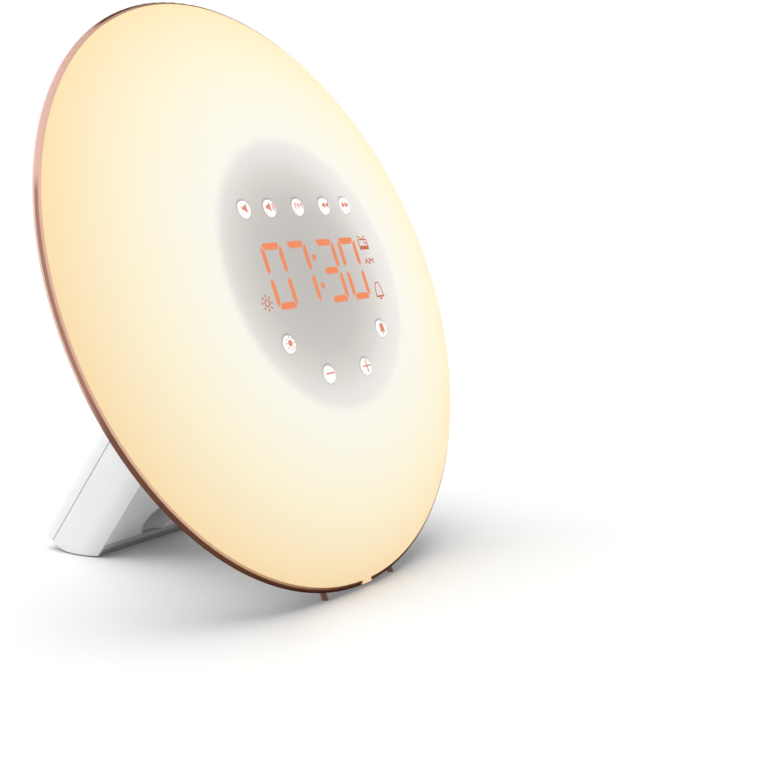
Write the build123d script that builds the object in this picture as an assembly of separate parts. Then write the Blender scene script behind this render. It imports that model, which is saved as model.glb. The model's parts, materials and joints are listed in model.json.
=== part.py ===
from build123d import *
from math import atan2, cos, hypot, pi, radians, sin, sqrt
import os

# Sunrise alarm clock: a leaning disc (opal dome, copper rim, dished rear shell) on a white leg.
# Millimetres. Z = 0 is the table, the front faces -Y, X = 0 is the plane of symmetry.
# Disc frame: x to the right, y up the disc, z out of its front, origin at the rim's front centre.
# Leg frame: x to the right, y ("depth") away from the leg's front face, z up along the leg.

# ---- stance ----
LEAN = 22.0               # disc leans back from the vertical, degrees
LEG_SLOPE = 35.0          # leg runs down and back, degrees from the vertical
RIM_CLEAR = 0.64          # rim ring above the table

# ---- rim, dome and rear shell ----
RING_R = 94.0             # rim ring, outside
RING_BAND = 1.3           # radial width of the band that shows
RING_DEPTH = 1.9
RING_LAND = 0.1           # flat between the diffuser and the band
RING_BELLY = (0.35, 0.83) # a point of the band: in from its outside, behind its front
RING_FLANGE = 3.3         # tucked under the diffuser
NOTCH_W = 4.8             # notch at the bottom of the rim ring
DOME_RISE = 16.6
DOME_POWER = 3.39         # flatness of the crown
DOME_EDGE = 0.88          # fullness at the rim
DIFFUSER_WALL = 2.2
DIFFUSER_RIM = 1.0        # straight edge below the dome
SKIRT_INSET = 5.7         # locating skirt, in from the dome's edge
SKIRT_WALL = 1.7
SKIRT_DROP = 1.5
REAR_DEPTH = 22.0
REAR_FLAT_R = 30.0
REAR_WALL = 2.2
REAR_RIM_STEP = 1.8       # rear shell's edge inside the rim ring
REAR_BOSS_GAP = 4.9       # from the chassis to the rear shell's bosses
REAR_SCREW_INSET = 24.0   # rear screws, in from the rim ring's outside
REAR_SCREW_ANGLES = (0, 55, 125, 180, 235, 305)
PLINTH_H = 2.5            # raised seat for the leg
PLINTH_BORDER = 3.0
CABLE_HOLE = (26.0, 14.0)
CABLE_Y = -6.0
FOOT_X = 18.3
FOOT_BACK = 3.7           # rim feet behind the rim's front plane
FOOT_D = 1.9

# ---- chassis, lights and display ----
CHASSIS_T = 1.6
CHASSIS_DROP = 2.0        # chassis front face behind the rim's front plane
LED_BOARD_T = 1.2
LED_SIZE = 2.8
LED_H = 0.7
LED_COUNTS = (16, 24)
LED_INNER_GAP = 10.2      # inner row, out from the baffle's flange
LED_OUTER_INSET = 17.7    # outer row, in from the dome's edge
LED_WINDOW_D = 5.0
LED_SCREW_ANGLES = (15, 75, 135, 195, 255, 315)
LED_BOARD_EDGE_GAP = 1.0  # board, inside the diffuser's skirt
REFLECTOR_T = 1.0
REFLECTOR_LIP = 1.4
BAFFLE_R = 43.0           # inside the light-tight tube
BAFFLE_WALL = 1.4
BAFFLE_FLANGE = 1.4
PCB_T = 1.6
BOARD_LIFT = 5.0          # display board above the chassis
BOARD_SCREW_R = 39.8
BOARD_SCREW_ANGLES = (0, 90, 180, 270)
POST_WALL = 1.6           # plastic around a small screw
SWITCH_SIZE = 6.0
SWITCH_H = 3.5
SWITCH_BORE = 1.2
MODULE_SIZE = (51.6, 25.0, 8.0)
MODULE_CORNER = 1.5
SEGMENT_H = 0.8
DIGIT_X = (-19.6, -7.2, 7.6, 20.2)
DIGIT_HALF_W = 5.1
DIGIT_HALF_H = 10.1
SEGMENT_W = 2.0
SEGMENT_CUT = 0.35        # along a bar's edge, between the slanted ends of two bars
COLON_DOT = 1.8
COLON_X = 0.3
COLON_Y = 4.3
ICON_PLACES = ((-1, 0.3, -7.6), (1, 2.0, 7.1), (1, 2.0, 0.2), (1, 2.2, -8.1))  # side, gap, height
ICON_SIZE = (5.2, 5.8)
ICON_CORNER = 1.0
GUIDE_T = 1.2
GUIDE_CLEAR = 3.0         # guide's top above the switches
GUIDE_COLLAR = (1.4, 1.2) # wall and drop of the collar around each stem
GUIDE_POST_D = 4.0
GUIDE_POST_R = 38.0
GUIDE_POST_ANGLES = (45, 135, 225, 315)
CHIP_H = 1.2
TAP_SENSOR = (4.0, 29.5)  # width, height above the centre
DRIVER = (9.0, 18.0)      # width, distance right of the centre

# ---- keys ----
KEY_D = 5.4
KEY_PROUD = 0.5
KEY_TRAVEL = 0.6
KEY_FLANGE_D = 8.2
KEY_FLANGE_T = 0.8
KEY_EDGE = 0.4
STEM_D = 2.6
KEYS = {
    "volume_down_button": (-26.1, 20.5),
    "volume_up_button": (-14.2, 20.5),
    "radio_button": (0.0, 20.5),
    "rewind_button": (14.2, 20.5),
    "forward_button": (26.1, 20.5),
    "light_button": (-24.8, -20.3),
    "alarm_button": (24.8, -20.3),
    "minus_button": (-10.0, -31.1),
    "plus_button": (10.0, -31.1),
}

# ---- speaker ----
SPEAKER_INSET = 49.0      # its axis, in from the rim ring's outside
SPEAKER_R = 20.0
SPEAKER_SEAT_Z = -13.0
SPEAKER_SEAT_WALL = 2.0
SPEAKER_DEPTH = 9.0
SPEAKER_FLANGE_T = 1.0
SPEAKER_OPENING_R = 16.6
SPEAKER_EAR_R = 22.6
SPEAKER_EAR_D = 5.0
SPEAKER_EAR_ANGLES = (45, 135, 225, 315)
SPEAKER_SCREW_L = 3.0
MAGNET_R = 9.5
MAGNET_H = 3.0
POLE_R = 5.3
CONE_T = 0.6
GRILLE_HOLE_D = 2.0
GRILLE_PITCH = 3.4
GRILLE_RINGS = 4

# ---- leg ----
LEG_FRONT = -7.0          # leg's front face, from the disc's centre
LEG_REAR = 17.5
LEG_HEEL = 3.79           # depth at which the leg's end meets the table
LEG_WALL = 2.2
LEG_HALF_W = 25.4
LEG_BULGE = 0.8           # how much the sides bow out
LEG_FRONT_CORNER = 11.0
LEG_FRONT_CUT = 4.67      # the front face cuts this much off the rounded front
LEG_REAR_CORNER = 7.0
LEG_END_CORNER = 6.0      # between the leg's rear and its end
LEG_HEEL_ROUND = 15.0     # between the leg's end and its underside
LEG_SPLIT = 9.1           # parting line between the two shells
PARTING_GROOVE = 0.35
GROOVE_DEPTH = 0.7
SHELL_LIFT = 0.5          # shells stay off the table
BASE_TOP = 4.3            # top of the base plate at the front
PAD_T = 2.6
BASE_BORDER = 2.5         # strip's end, in from the leg's widest point
PAD_INSET = 0.5
BASE_SCREW_X = 12.0
BASE_SCREW_Y = 7.0        # behind the leg's front edge
BASE_SCREW_L = 4.5
BASE_SCREW_SEAT = 0.5     # into the base plate
BRACKET_L = 10.0
BRACKET_HOLE_DEPTH = (3.0, 13.0)
BRACKET_TOP_DEPTH = 13.3
BRACKET_SCREW_AT = (6.4, -8.0)    # in from the leg's widest point, height above the disc's centre
BRACKET_SCREW_GRIP = 6.0
LEG_SCREW_LOW = (16.0, 12.7)      # to each side, up from the leg's end
LEG_SCREW_HIGH = (14.5, 8.15)     # to each side, down from the leg's seat
LEG_SCREW_RECESS = 3.4
LEG_BOSS_WALL = 1.2
MAIN_BOARD_W = 38.0
MAIN_BOARD_BELOW = 5.1    # its upper end, below the bracket
MAIN_BOARD_DEPTH = 5.0
MAIN_BOARD_TO_JACK = 8.0
BOARD_POST = (3.5, 5.0)   # in from the main board's side and end
JACK_ABOVE_EDGE = 11.15   # up the leg from its front edge
JACK_RECESS_R = 7.5
JACK_RECESS_DEPTH = 8.0
JACK_CUP_WALL = 1.6
JACK_BARREL_D = 5.5
JACK_PIN_D = 2.1
JACK_BODY = (9.0, 9.0)

# ---- fasteners and fits ----
BIG_SCREW = (2.9, 5.6, 2.0)       # shank, head, head height
SMALL_SCREW = (2.0, 3.8, 1.3)
HEAD_CLEAR = 0.3
SHANK_CLEAR = 0.2
THREAD_CLEAR = 0.02
RUN_CLEAR = 0.1           # radial, keys in their holes
FIT_GAP = 0.2             # between fixed pieces side by side
SOFT_GAP = 0.3
BOSS_WALL = 2.2
LEAD_D = 1.3
LEAD_GAP = 0.4            # between the two leads of a pair
LEAD_TURN = 0.8           # where the leads turn into the leg, in from the rear shell's back
SPEAKER_LEAD_BEND_Y = 8.0
SPEAKER_LEAD_BEND = 6.0
LED_LEAD_DROP = 3.0       # behind the chassis
LED_LEAD_BEND_Y = -16.0
LED_LEAD_FALL = 4.0       # further back at that bend
RIBBON_TURN = 4.0         # where the ribbon turns into the leg, in from the rear shell's back
RIBBON_BEND = 15.0
LED_LEAD_AT = (-10.0, -49.5)      # hole in the chassis
RIBBON_W = 12.0
RIBBON_T = 0.5
GROMMET_AT = (50.0, -26.0)
GROMMET_D = 5.0
GROMMET_BORE = 1.8
GROMMET_LIP = 1.2
CONNECTOR_H = 3.0
CONNECTOR_L = 4.0
RIBBON_PLUG = (15.0, 5.0)         # across and along the leg
LEAD_PLUG_X = 10.5
LEAD_PLUG_BELOW = 11.0            # from the main board's upper end
PROCESSOR = (10.0, 1.6, 0.45)     # width, height, place along the main board
CAPACITOR = (3.15, 7.0, 0.725)    # radius, height, place along the main board
CAPACITOR_X = 4.0
INDUCTOR = (8.0, 4.0, 0.57)       # width, height, place along the main board
INDUCTOR_X = 12.0

# ---- derived ----
DOME_R = RING_R - RING_BAND
SIN_L, COS_L = sin(radians(LEAN)), cos(radians(LEAN))
SIN_G, COS_G = sin(radians(LEG_SLOPE)), cos(radians(LEG_SLOPE))
SIN_J, COS_J = sin(radians(LEAN + LEG_SLOPE)), cos(radians(LEAN + LEG_SLOPE))
DISC_H = RING_R * COS_L + RING_DEPTH * SIN_L + RIM_CLEAR
CHASSIS_Z = -CHASSIS_DROP
LED_BOARD_Z = CHASSIS_Z + LED_BOARD_T
BOARD_Z = CHASSIS_Z + BOARD_LIFT
BOARD_TOP = BOARD_Z + PCB_T
SWITCH_TOP = BOARD_TOP + SWITCH_H
MODULE_TOP = BOARD_TOP + MODULE_SIZE[2]
GUIDE_TOP = SWITCH_TOP + GUIDE_CLEAR
BAFFLE_EDGE = BAFFLE_R + BAFFLE_WALL + BAFFLE_FLANGE
LED_ROWS = ((BAFFLE_EDGE + LED_INNER_GAP, LED_COUNTS[0]), (DOME_R - LED_OUTER_INSET, LED_COUNTS[1]))
LED_SCREW_R = (LED_ROWS[0][0] + LED_ROWS[1][0]) / 2
ICON_CENTRES = [(side * (MODULE_SIZE[0] / 2 + gap + ICON_SIZE[0] / 2), y) for side, gap, y in ICON_PLACES]
REAR_SCREW_R = RING_R - REAR_SCREW_INSET
REAR_BOSS_TOP = CHASSIS_Z - CHASSIS_T - REAR_BOSS_GAP
REAR_SCREW_SEAT = REAR_BOSS_TOP - BOSS_WALL
SPEAKER_Y = RING_R - SPEAKER_INSET
LEG_SEAT_Z = -(REAR_DEPTH + PLINTH_H)
LEG_LENGTH = (DISC_H + LEG_HEEL * SIN_G) / COS_G
LEG_FRONT_END = (DISC_H + LEG_FRONT * SIN_G) / COS_G
LEG_SEAT_AT = (-LEG_SEAT_Z - LEG_REAR * COS_J) / SIN_J
LEG_SCREW_SEAT = LEG_REAR - LEG_SCREW_RECESS
LEG_SCREWS_LOW = [(side * LEG_SCREW_LOW[0], LEG_LENGTH - LEG_SCREW_LOW[1]) for side in (-1, 1)]
LEG_SCREWS_HIGH = [(side * LEG_SCREW_HIGH[0], LEG_SEAT_AT + LEG_SCREW_HIGH[1]) for side in (-1, 1)]
JACK_AT = LEG_FRONT_END - JACK_ABOVE_EDGE
JACK_FLOOR = LEG_FRONT + JACK_RECESS_DEPTH
BASE_HALF_W = LEG_HALF_W - BASE_BORDER
BRACKET_SCREWS = [(side * (LEG_HALF_W - BRACKET_SCREW_AT[0]), BRACKET_SCREW_AT[1]) for side in (-1, 1)]
BRACKET_END = (BRACKET_L - LEG_SEAT_Z - MAIN_BOARD_DEPTH * COS_J) / SIN_J
MAIN_BOARD_FROM = BRACKET_END + MAIN_BOARD_BELOW
MAIN_BOARD_END = JACK_AT - MAIN_BOARD_TO_JACK
MAIN_BOARD_L = MAIN_BOARD_END - MAIN_BOARD_FROM
BOARD_POSTS = [(side * (MAIN_BOARD_W / 2 - BOARD_POST[0]), along) for side in (-1, 1)
               for along in (MAIN_BOARD_FROM + BOARD_POST[1], MAIN_BOARD_END - BOARD_POST[1])]
BOARD_BACK = MAIN_BOARD_DEPTH + PCB_T
RIBBON_DEPTH = BOARD_BACK + CONNECTOR_H / 2
LEAD_TURN_AT = (REAR_DEPTH - LEAD_TURN - RIBBON_DEPTH * COS_J) / SIN_J
FRONT_EDGE_Y_FROM_DISC = LEG_FRONT * COS_G + LEG_FRONT_END * SIN_G
DEEP = 400.0              # longer than the whole object, for cutting
LOW = (Align.CENTER, Align.CENTER, Align.MIN)
HIGH = (Align.CENTER, Align.CENTER, Align.MAX)


def dome_z(r):
    """Height of the dome's outside at a distance from the disc's axis."""
    return DOME_RISE * (1 - (r / DOME_R) ** DOME_POWER) ** DOME_EDGE


def dome_point(r, inset):
    """A point of the dome's section, moved inwards along its normal."""
    t = r / DOME_R
    fall = DOME_RISE * DOME_EDGE * DOME_POWER / DOME_R * t ** (DOME_POWER - 1)
    slope = fall * (1 - t ** DOME_POWER) ** (DOME_EDGE - 1)
    length = hypot(1, slope)
    return (r - inset * slope / length, dome_z(r) - inset / length)


def front_reach():
    """How far the dome comes forward of the disc's centre."""
    steps = [DOME_R * k / 200 for k in range(200)]
    return max(r * SIN_L + dome_z(r) * COS_L for r in steps)


def rear_reach():
    """How far the leg's rounded end goes back from the disc's centre."""
    depth = LEG_REAR - LEG_END_CORNER
    along = LEG_LENGTH - LEG_END_CORNER
    return depth * COS_G + along * SIN_G + LEG_END_CORNER


DISC_Y = (front_reach() - rear_reach()) / 2
FRONT_EDGE_Y = DISC_Y + FRONT_EDGE_Y_FROM_DISC     # where the leg's front face meets the table
CENTRE = (0, DISC_Y, DISC_H)
DISC = Plane(origin=CENTRE, x_dir=(1, 0, 0), z_dir=(0, -COS_L, SIN_L))
LEG = Plane(origin=CENTRE, x_dir=(1, 0, 0), z_dir=(0, -SIN_G, COS_G))


# ---- small builders ----
def tube(r_in, r_out, z_low, z_high, at=(0, 0)):
    """A plain ring between two heights."""
    height = z_high - z_low
    ring = Cylinder(r_out, height, align=LOW)
    if r_in > 0:
        ring -= Cylinder(r_in, height, align=LOW)
    return Pos(at[0], at[1], z_low) * ring


def block(size, at, align=LOW):
    return Pos(*at) * Box(*size, align=align)


def turned(edges):
    """Revolve a closed section, given in (radius, height), about the frame's z axis."""
    return revolve(Plane.XZ * make_face(edges), Axis.Z)


def turned_points(points):
    return revolve(Plane.XZ * make_face(Polyline(*points, close=True)), Axis.Z)


def screw(kind, length):
    """A pan head screw, head upwards, its bearing face at the origin."""
    shank, head, height = kind
    top = Cylinder(head / 2, height, align=LOW)
    top = fillet(top.edges().sort_by(Axis.Z)[-1], height * 0.4)
    top -= Pos(0, 0, height * 0.5) * (Box(head * 0.6, height * 0.3, height, align=LOW)
                                      + Box(height * 0.3, head * 0.6, height, align=LOW))
    return top + Cylinder(shank / 2 - THREAD_CLEAR, length, align=HIGH)


def polar(radius, angle):
    return (radius * cos(radians(angle)), radius * sin(radians(angle)))


def leg_at(x, depth, along):
    """A point of the leg's frame, from its distance along the leg."""
    return (x, depth, -along)


def leg_to_disc(x, depth, along):
    """The same point in the disc's frame."""
    return (x, depth * SIN_J - along * COS_J, -depth * COS_J - along * SIN_J)


def write(name, shape):
    solids = shape.solids()
    group = solids[0] if len(solids) == 1 else Compound(children=list(solids))
    export_step(group, os.path.join("parts", name + ".step"))


# ---- disc: outside ----
def key_hole(at):
    return Pos(at[0], at[1], 0) * Cylinder(KEY_D / 2 + RUN_CLEAR, DOME_RISE * 2, align=LOW)


def skirt_radii():
    inner = dome_point(DOME_R - SKIRT_INSET, DIFFUSER_WALL)[0]
    return inner, inner + SKIRT_WALL


def diffuser():
    """Opal dome with a locating skirt, a tab for the rim's notch and nine key holes."""
    count = 14
    rim = [DOME_R * sin(pi / 2 * k / count) for k in range(count + 1)]
    outside = Spline(*[(r, dome_z(r)) for r in rim], tangents=((1, 0), (1, -1)))
    reach = DOME_R - SKIRT_INSET
    under = [reach * sin(pi / 2 * k / count) for k in range(count + 1)]
    inside = Spline(*[dome_point(r, DIFFUSER_WALL) for r in under])
    skirt_in, skirt_out = skirt_radii()
    edge = Polyline((DOME_R, 0), (DOME_R, -DIFFUSER_RIM), (skirt_out, -DIFFUSER_RIM),
                    (skirt_out, -DIFFUSER_RIM - SKIRT_DROP), (skirt_in, -DIFFUSER_RIM - SKIRT_DROP),
                    inside @ 1)
    axis = Line((0, DOME_RISE - DIFFUSER_WALL), (0, DOME_RISE))
    dome = turned(outside.edges() + edge.edges() + inside.edges() + axis.edges())
    tab = block((NOTCH_W - 2 * FIT_GAP, RING_BAND * 3, RING_DEPTH), (0, -DOME_R, -RING_DEPTH))
    tab &= tube(DOME_R - FIT_GAP, RING_R - FIT_GAP, -DIFFUSER_RIM, 0)
    dome += tab
    for at in KEYS.values():
        dome -= key_hole(at)
    return dome


def rim_ring():
    """Metallised band that widens to the back, with an inner flange that the diffuser sits on."""
    inner = DOME_R + FIT_GAP / 2
    belly = (RING_R - RING_BELLY[0], -RING_BELLY[1])
    band = ThreePointArc((inner + RING_LAND, 0), belly, (RING_R, -RING_DEPTH))
    back = Polyline((RING_R, -RING_DEPTH), (DOME_R - RING_FLANGE, -RING_DEPTH),
                    (DOME_R - RING_FLANGE, -DIFFUSER_RIM), (inner, -DIFFUSER_RIM), (inner, 0),
                    (inner + RING_LAND, 0))
    ring = turned(band.edges() + back.edges())
    notch = block((NOTCH_W, RING_BAND * 3, RING_DEPTH), (0, RING_BAND - inner, -DIFFUSER_RIM),
                  (Align.CENTER, Align.MAX, Align.MIN))
    return ring - notch


def dish(inset):
    """Solid of revolution under the rear shell's skin, moved inwards by inset."""
    edge_r = RING_R - REAR_RIM_STEP
    run = edge_r - REAR_FLAT_R
    rise = REAR_DEPTH - RING_DEPTH
    radius = (run ** 2 + rise ** 2) / (2 * rise)
    centre_z = radius - REAR_DEPTH
    inner = radius - inset
    end_r = REAR_FLAT_R + sqrt(inner ** 2 - (centre_z + RING_DEPTH) ** 2)
    sweep_angle = atan2(end_r - REAR_FLAT_R, centre_z + RING_DEPTH) / 2
    middle = (REAR_FLAT_R + inner * sin(sweep_angle), centre_z - inner * cos(sweep_angle))
    floor_z = inset - REAR_DEPTH
    curve = ThreePointArc((REAR_FLAT_R, floor_z), middle, (end_r, -RING_DEPTH))
    rest = Polyline((end_r, -RING_DEPTH), (0, -RING_DEPTH), (0, floor_z), (REAR_FLAT_R, floor_z))
    return turned(curve.edges() + rest.edges())


def dish_z(radius, inset):
    """Height of the rear shell's skin at a distance from the disc's axis."""
    run = RING_R - REAR_RIM_STEP - REAR_FLAT_R
    rise = REAR_DEPTH - RING_DEPTH
    curve = (run ** 2 + rise ** 2) / (2 * rise)
    beyond = max(0.0, radius - REAR_FLAT_R)
    return curve - REAR_DEPTH - sqrt((curve - inset) ** 2 - beyond ** 2)


def grille_holes():
    """Rings of small holes over the speaker."""
    spots = [(0.0, 0.0)]
    for ring in range(1, GRILLE_RINGS + 1):
        spots += [polar(ring * GRILLE_PITCH, 60.0 * k / ring) for k in range(6 * ring)]
    drill = Cylinder(GRILLE_HOLE_D / 2, REAR_DEPTH, align=HIGH)
    return [Pos(x, SPEAKER_Y + y, SPEAKER_SEAT_Z) * drill for x, y in spots]


def speaker_ears():
    return [Pos(0, SPEAKER_Y, 0) * Pos(*polar(SPEAKER_EAR_R, angle), 0) for angle in SPEAKER_EAR_ANGLES]


def plinth():
    """Raised seat around the leg's root, following the leg's outline."""
    outline = leg_prism(PLINTH_BORDER)
    slab = block((DEEP, DEEP, PLINTH_H + REAR_WALL), (0, 0, -REAR_DEPTH - PLINTH_H))
    seat = (DISC.location.inverse() * (LEG * outline)) & slab
    rim = seat.faces().sort_by(Axis.Z)[0].edges()
    return fillet(rim, PLINTH_H * 0.6)


def rear_shell():
    """Dished white back with screw bosses, speaker seat, grille and the leg's plinth."""
    skin = dish(0)
    hollow = dish(REAR_WALL)
    posts = []
    holes = []
    for angle in REAR_SCREW_ANGLES:
        at = polar(REAR_SCREW_R, angle)
        posts.append(tube(0, BIG_SCREW[1] / 2 + BOSS_WALL, -REAR_DEPTH, REAR_BOSS_TOP, at))
        holes.append(tube(0, BIG_SCREW[1] / 2 + HEAD_CLEAR, -REAR_DEPTH, REAR_SCREW_SEAT, at))
        holes.append(tube(0, BIG_SCREW[0] / 2 + SHANK_CLEAR, -REAR_DEPTH, REAR_BOSS_TOP, at))
    seat_r = SPEAKER_OPENING_R + SPEAKER_SEAT_WALL
    posts.append(tube(SPEAKER_OPENING_R, seat_r, -REAR_DEPTH, SPEAKER_SEAT_Z, (0, SPEAKER_Y)))
    for ear in speaker_ears():
        post = Cylinder(SPEAKER_EAR_D / 2, REAR_DEPTH + SPEAKER_SEAT_Z, align=HIGH)
        posts.append(ear * Pos(0, 0, SPEAKER_SEAT_Z) * post)
        pilot = Cylinder(SMALL_SCREW[0] / 2, SPEAKER_SCREW_L, align=HIGH)
        holes.append(ear * Pos(0, 0, SPEAKER_SEAT_Z) * pilot)
    holes.append(Pos(0, CABLE_Y, 0) * Box(*CABLE_HOLE, REAR_DEPTH * 3))
    for x, y in BRACKET_SCREWS:
        holes.append(tube(0, BIG_SCREW[0] / 2 + SHANK_CLEAR, LEG_SEAT_Z, 0, (x, y)))
    holes += grille_holes()
    holes.append(Pos(*GROMMET_AT, 0) * Cylinder(GROMMET_D / 2, REAR_DEPTH * 3))
    shell = skin - hollow
    for post in posts:
        shell += post & skin
    shell += plinth()
    for hole in holes:
        shell -= hole
    return shell


def rim_feet():
    """Two pegs from the rear shell's edge down to the table."""
    skin = dish(0)
    feet = []
    for x in (-FOOT_X, FOOT_X):
        peg = Pos(x, 0, -FOOT_BACK) * Rot(90, 0, 0) * Cylinder(FOOT_D / 2, RING_R + FOOT_D, align=LOW)
        peg &= block((DEEP, FOOT_D * 4, DEEP), (0, -RING_R, -DEEP / 2))
        peg -= skin
        feet.append(max((DISC * peg).solids(), key=lambda s: s.volume))
    feet = [foot & block((DEEP, DEEP, DEEP), (0, 0, 0)) for foot in feet]
    return Compound(children=[foot.solids()[0] for foot in feet])


def antenna_grommet():
    """Rubber bush in the rear shell's skin for the radio's aerial wire."""
    radius = hypot(*GROMMET_AT)
    inner = dish_z(radius, REAR_WALL)
    outer = dish_z(radius, 0)
    top = inner + REAR_WALL
    lip = top - GROMMET_LIP
    bush = tube(GROMMET_BORE / 2, GROMMET_D / 2 - THREAD_CLEAR, outer - GROMMET_LIP, top, GROMMET_AT)
    return bush + tube(GROMMET_BORE / 2, GROMMET_D / 2 + GROMMET_LIP, lip, top, GROMMET_AT)


# ---- disc: inside ----
def ring_of(radius, angles):
    return [polar(radius, angle) for angle in angles]


def chassis():
    """Round plate with bosses for the rear screws and posts for the display board."""
    skirt_in = skirt_radii()[0]
    back = CHASSIS_Z - CHASSIS_T
    plate = tube(0, skirt_in - FIT_GAP, back, CHASSIS_Z)
    for at in ring_of(REAR_SCREW_R, REAR_SCREW_ANGLES):
        plate += tube(0, BIG_SCREW[0] / 2 + BOSS_WALL, REAR_BOSS_TOP, back, at)
    for at in ring_of(BOARD_SCREW_R, BOARD_SCREW_ANGLES):
        plate += tube(0, SMALL_SCREW[0] / 2 + POST_WALL, CHASSIS_Z, BOARD_Z, at)
        plate -= tube(0, SMALL_SCREW[0] / 2, back, BOARD_Z, at)
    for at in ring_of(REAR_SCREW_R, REAR_SCREW_ANGLES):
        plate -= tube(0, BIG_SCREW[0] / 2, REAR_BOSS_TOP, back + CHASSIS_T * 0.6, at)
    for at in ring_of(LED_SCREW_R, LED_SCREW_ANGLES):
        plate -= tube(0, SMALL_SCREW[0] / 2, back, CHASSIS_Z, at)
    plate -= Pos(0, CABLE_Y, back) * Box(*CABLE_HOLE, CHASSIS_T * 3)
    plate -= tube(0, LEAD_D * 2.3, back, CHASSIS_Z, LED_LEAD_AT)
    return plate


def led_spots():
    return [polar(radius, 360.0 * k / count) for radius, count in LED_ROWS for k in range(count)]


def led_board():
    """Ring-shaped board that the lights stand on."""
    outer = skirt_radii()[0] - LED_BOARD_EDGE_GAP
    board = tube(BAFFLE_EDGE + FIT_GAP, outer, CHASSIS_Z, LED_BOARD_Z)
    for at in ring_of(LED_SCREW_R, LED_SCREW_ANGLES):
        board -= tube(0, SMALL_SCREW[0] / 2 + SHANK_CLEAR, CHASSIS_Z, LED_BOARD_Z, at)
    return board


def leds():
    return Compound(children=[block((LED_SIZE, LED_SIZE, LED_H), (x, y, LED_BOARD_Z))
                              for x, y in led_spots()])


def reflector():
    """White sheet over the board, with a window for each light and a turned-up lip."""
    inner = BAFFLE_EDGE + FIT_GAP
    outer = skirt_radii()[0] - LED_BOARD_EDGE_GAP - FIT_GAP
    low = LED_BOARD_Z
    high = low + REFLECTOR_T
    sheet = turned_points([(inner, low), (outer, low), (outer, high + REFLECTOR_LIP),
                           (outer - REFLECTOR_T, high + REFLECTOR_LIP),
                           (outer - REFLECTOR_T - REFLECTOR_LIP, high), (inner, high)])
    for at in led_spots():
        sheet -= tube(0, LED_WINDOW_D / 2, low, high, at)
    for at in ring_of(LED_SCREW_R, LED_SCREW_ANGLES):
        sheet -= tube(0, SMALL_SCREW[0] / 2 + SHANK_CLEAR, low, high, at)
    return sheet


def led_board_screws():
    seat = LED_BOARD_Z + REFLECTOR_T
    length = seat - CHASSIS_Z + CHASSIS_T * 0.8
    return Compound(children=[Pos(x, y, seat) * screw(SMALL_SCREW, length)
                              for x, y in ring_of(LED_SCREW_R, LED_SCREW_ANGLES)])


def display_baffle():
    """Light-tight tube between the light chamber and the display."""
    outer = BAFFLE_R + BAFFLE_WALL
    top = dome_point(outer, DIFFUSER_WALL)[1] - SOFT_GAP
    wall = tube(BAFFLE_R, outer, CHASSIS_Z, top)
    return wall + tube(BAFFLE_R, BAFFLE_EDGE, CHASSIS_Z, LED_BOARD_Z)


def display_board():
    board = tube(0, BAFFLE_R - SOFT_GAP, BOARD_Z, BOARD_TOP)
    for at in ring_of(BOARD_SCREW_R, BOARD_SCREW_ANGLES):
        board -= tube(0, SMALL_SCREW[0] / 2 + SHANK_CLEAR, BOARD_Z, BOARD_TOP, at)
    return board


def display_screws():
    length = PCB_T + BOARD_LIFT * 0.8
    return Compound(children=[Pos(x, y, BOARD_TOP) * screw(SMALL_SCREW, length)
                              for x, y in ring_of(BOARD_SCREW_R, BOARD_SCREW_ANGLES)])


def display_module():
    """White block that carries the digits' light guides."""
    body = block(MODULE_SIZE, (0, 0, BOARD_TOP))
    return fillet(body.edges().filter_by(Axis.Z), MODULE_CORNER)


def digit_outlines():
    """Outlines of the seven bars of a digit, with slanted ends where they meet."""
    x, y, cut = DIGIT_HALF_W, DIGIT_HALF_H, SEGMENT_CUT
    half = SEGMENT_W / 2
    inner = x - SEGMENT_W - cut
    level = [(cut - x, y), (x - cut, y), (inner, y - SEGMENT_W), (-inner, y - SEGMENT_W)]
    middle = [(-inner - half, 0), (-inner, half), (inner, half),
              (inner + half, 0), (inner, -half), (-inner, -half)]
    upright = [(x, y - cut), (x, cut + half), (x - half, cut), (x - SEGMENT_W, cut + half),
               (x - SEGMENT_W, y - SEGMENT_W - cut)]
    flips = [(side, end) for side in (-1, 1) for end in (-1, 1)]
    uprights = [[(a * side, b * end) for a, b in upright] for side, end in flips]
    return [level, [(a, -b) for a, b in level], middle] + uprights


def digit_segments():
    """Light guides of every bar of the four digits, and the colon's two dots."""
    faces = [Polygon(*outline, align=None) for outline in digit_outlines()]
    bars = [extrude(face, SEGMENT_H, dir=(0, 0, 1)) for face in faces]
    pieces = [Pos(x, 0, MODULE_TOP) * one for x in DIGIT_X for one in bars]
    for y in (-COLON_Y, COLON_Y):
        pieces.append(tube(0, COLON_DOT / 2, MODULE_TOP, MODULE_TOP + SEGMENT_H, (COLON_X, y)))
    return Compound(children=pieces)


def icon_light_guides():
    """One light guide behind each pictogram beside the digits."""
    size = (ICON_SIZE[0], ICON_SIZE[1], MODULE_SIZE[2] + SEGMENT_H)
    guides = [block(size, (x, y, BOARD_TOP)) for x, y in ICON_CENTRES]
    return Compound(children=[fillet(g.edges().filter_by(Axis.Z), ICON_CORNER) for g in guides])


def tact_switches():
    """A square switch under every key, with the bore that its stem presses into."""
    switches = []
    for x, y in KEYS.values():
        body = block((SWITCH_SIZE, SWITCH_SIZE, SWITCH_H), (x, y, BOARD_TOP))
        bore = tube(0, STEM_D / 2 + RUN_CLEAR, SWITCH_TOP - SWITCH_BORE, SWITCH_TOP, (x, y))
        switches.append(body - bore)
    return Compound(children=switches)


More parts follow.
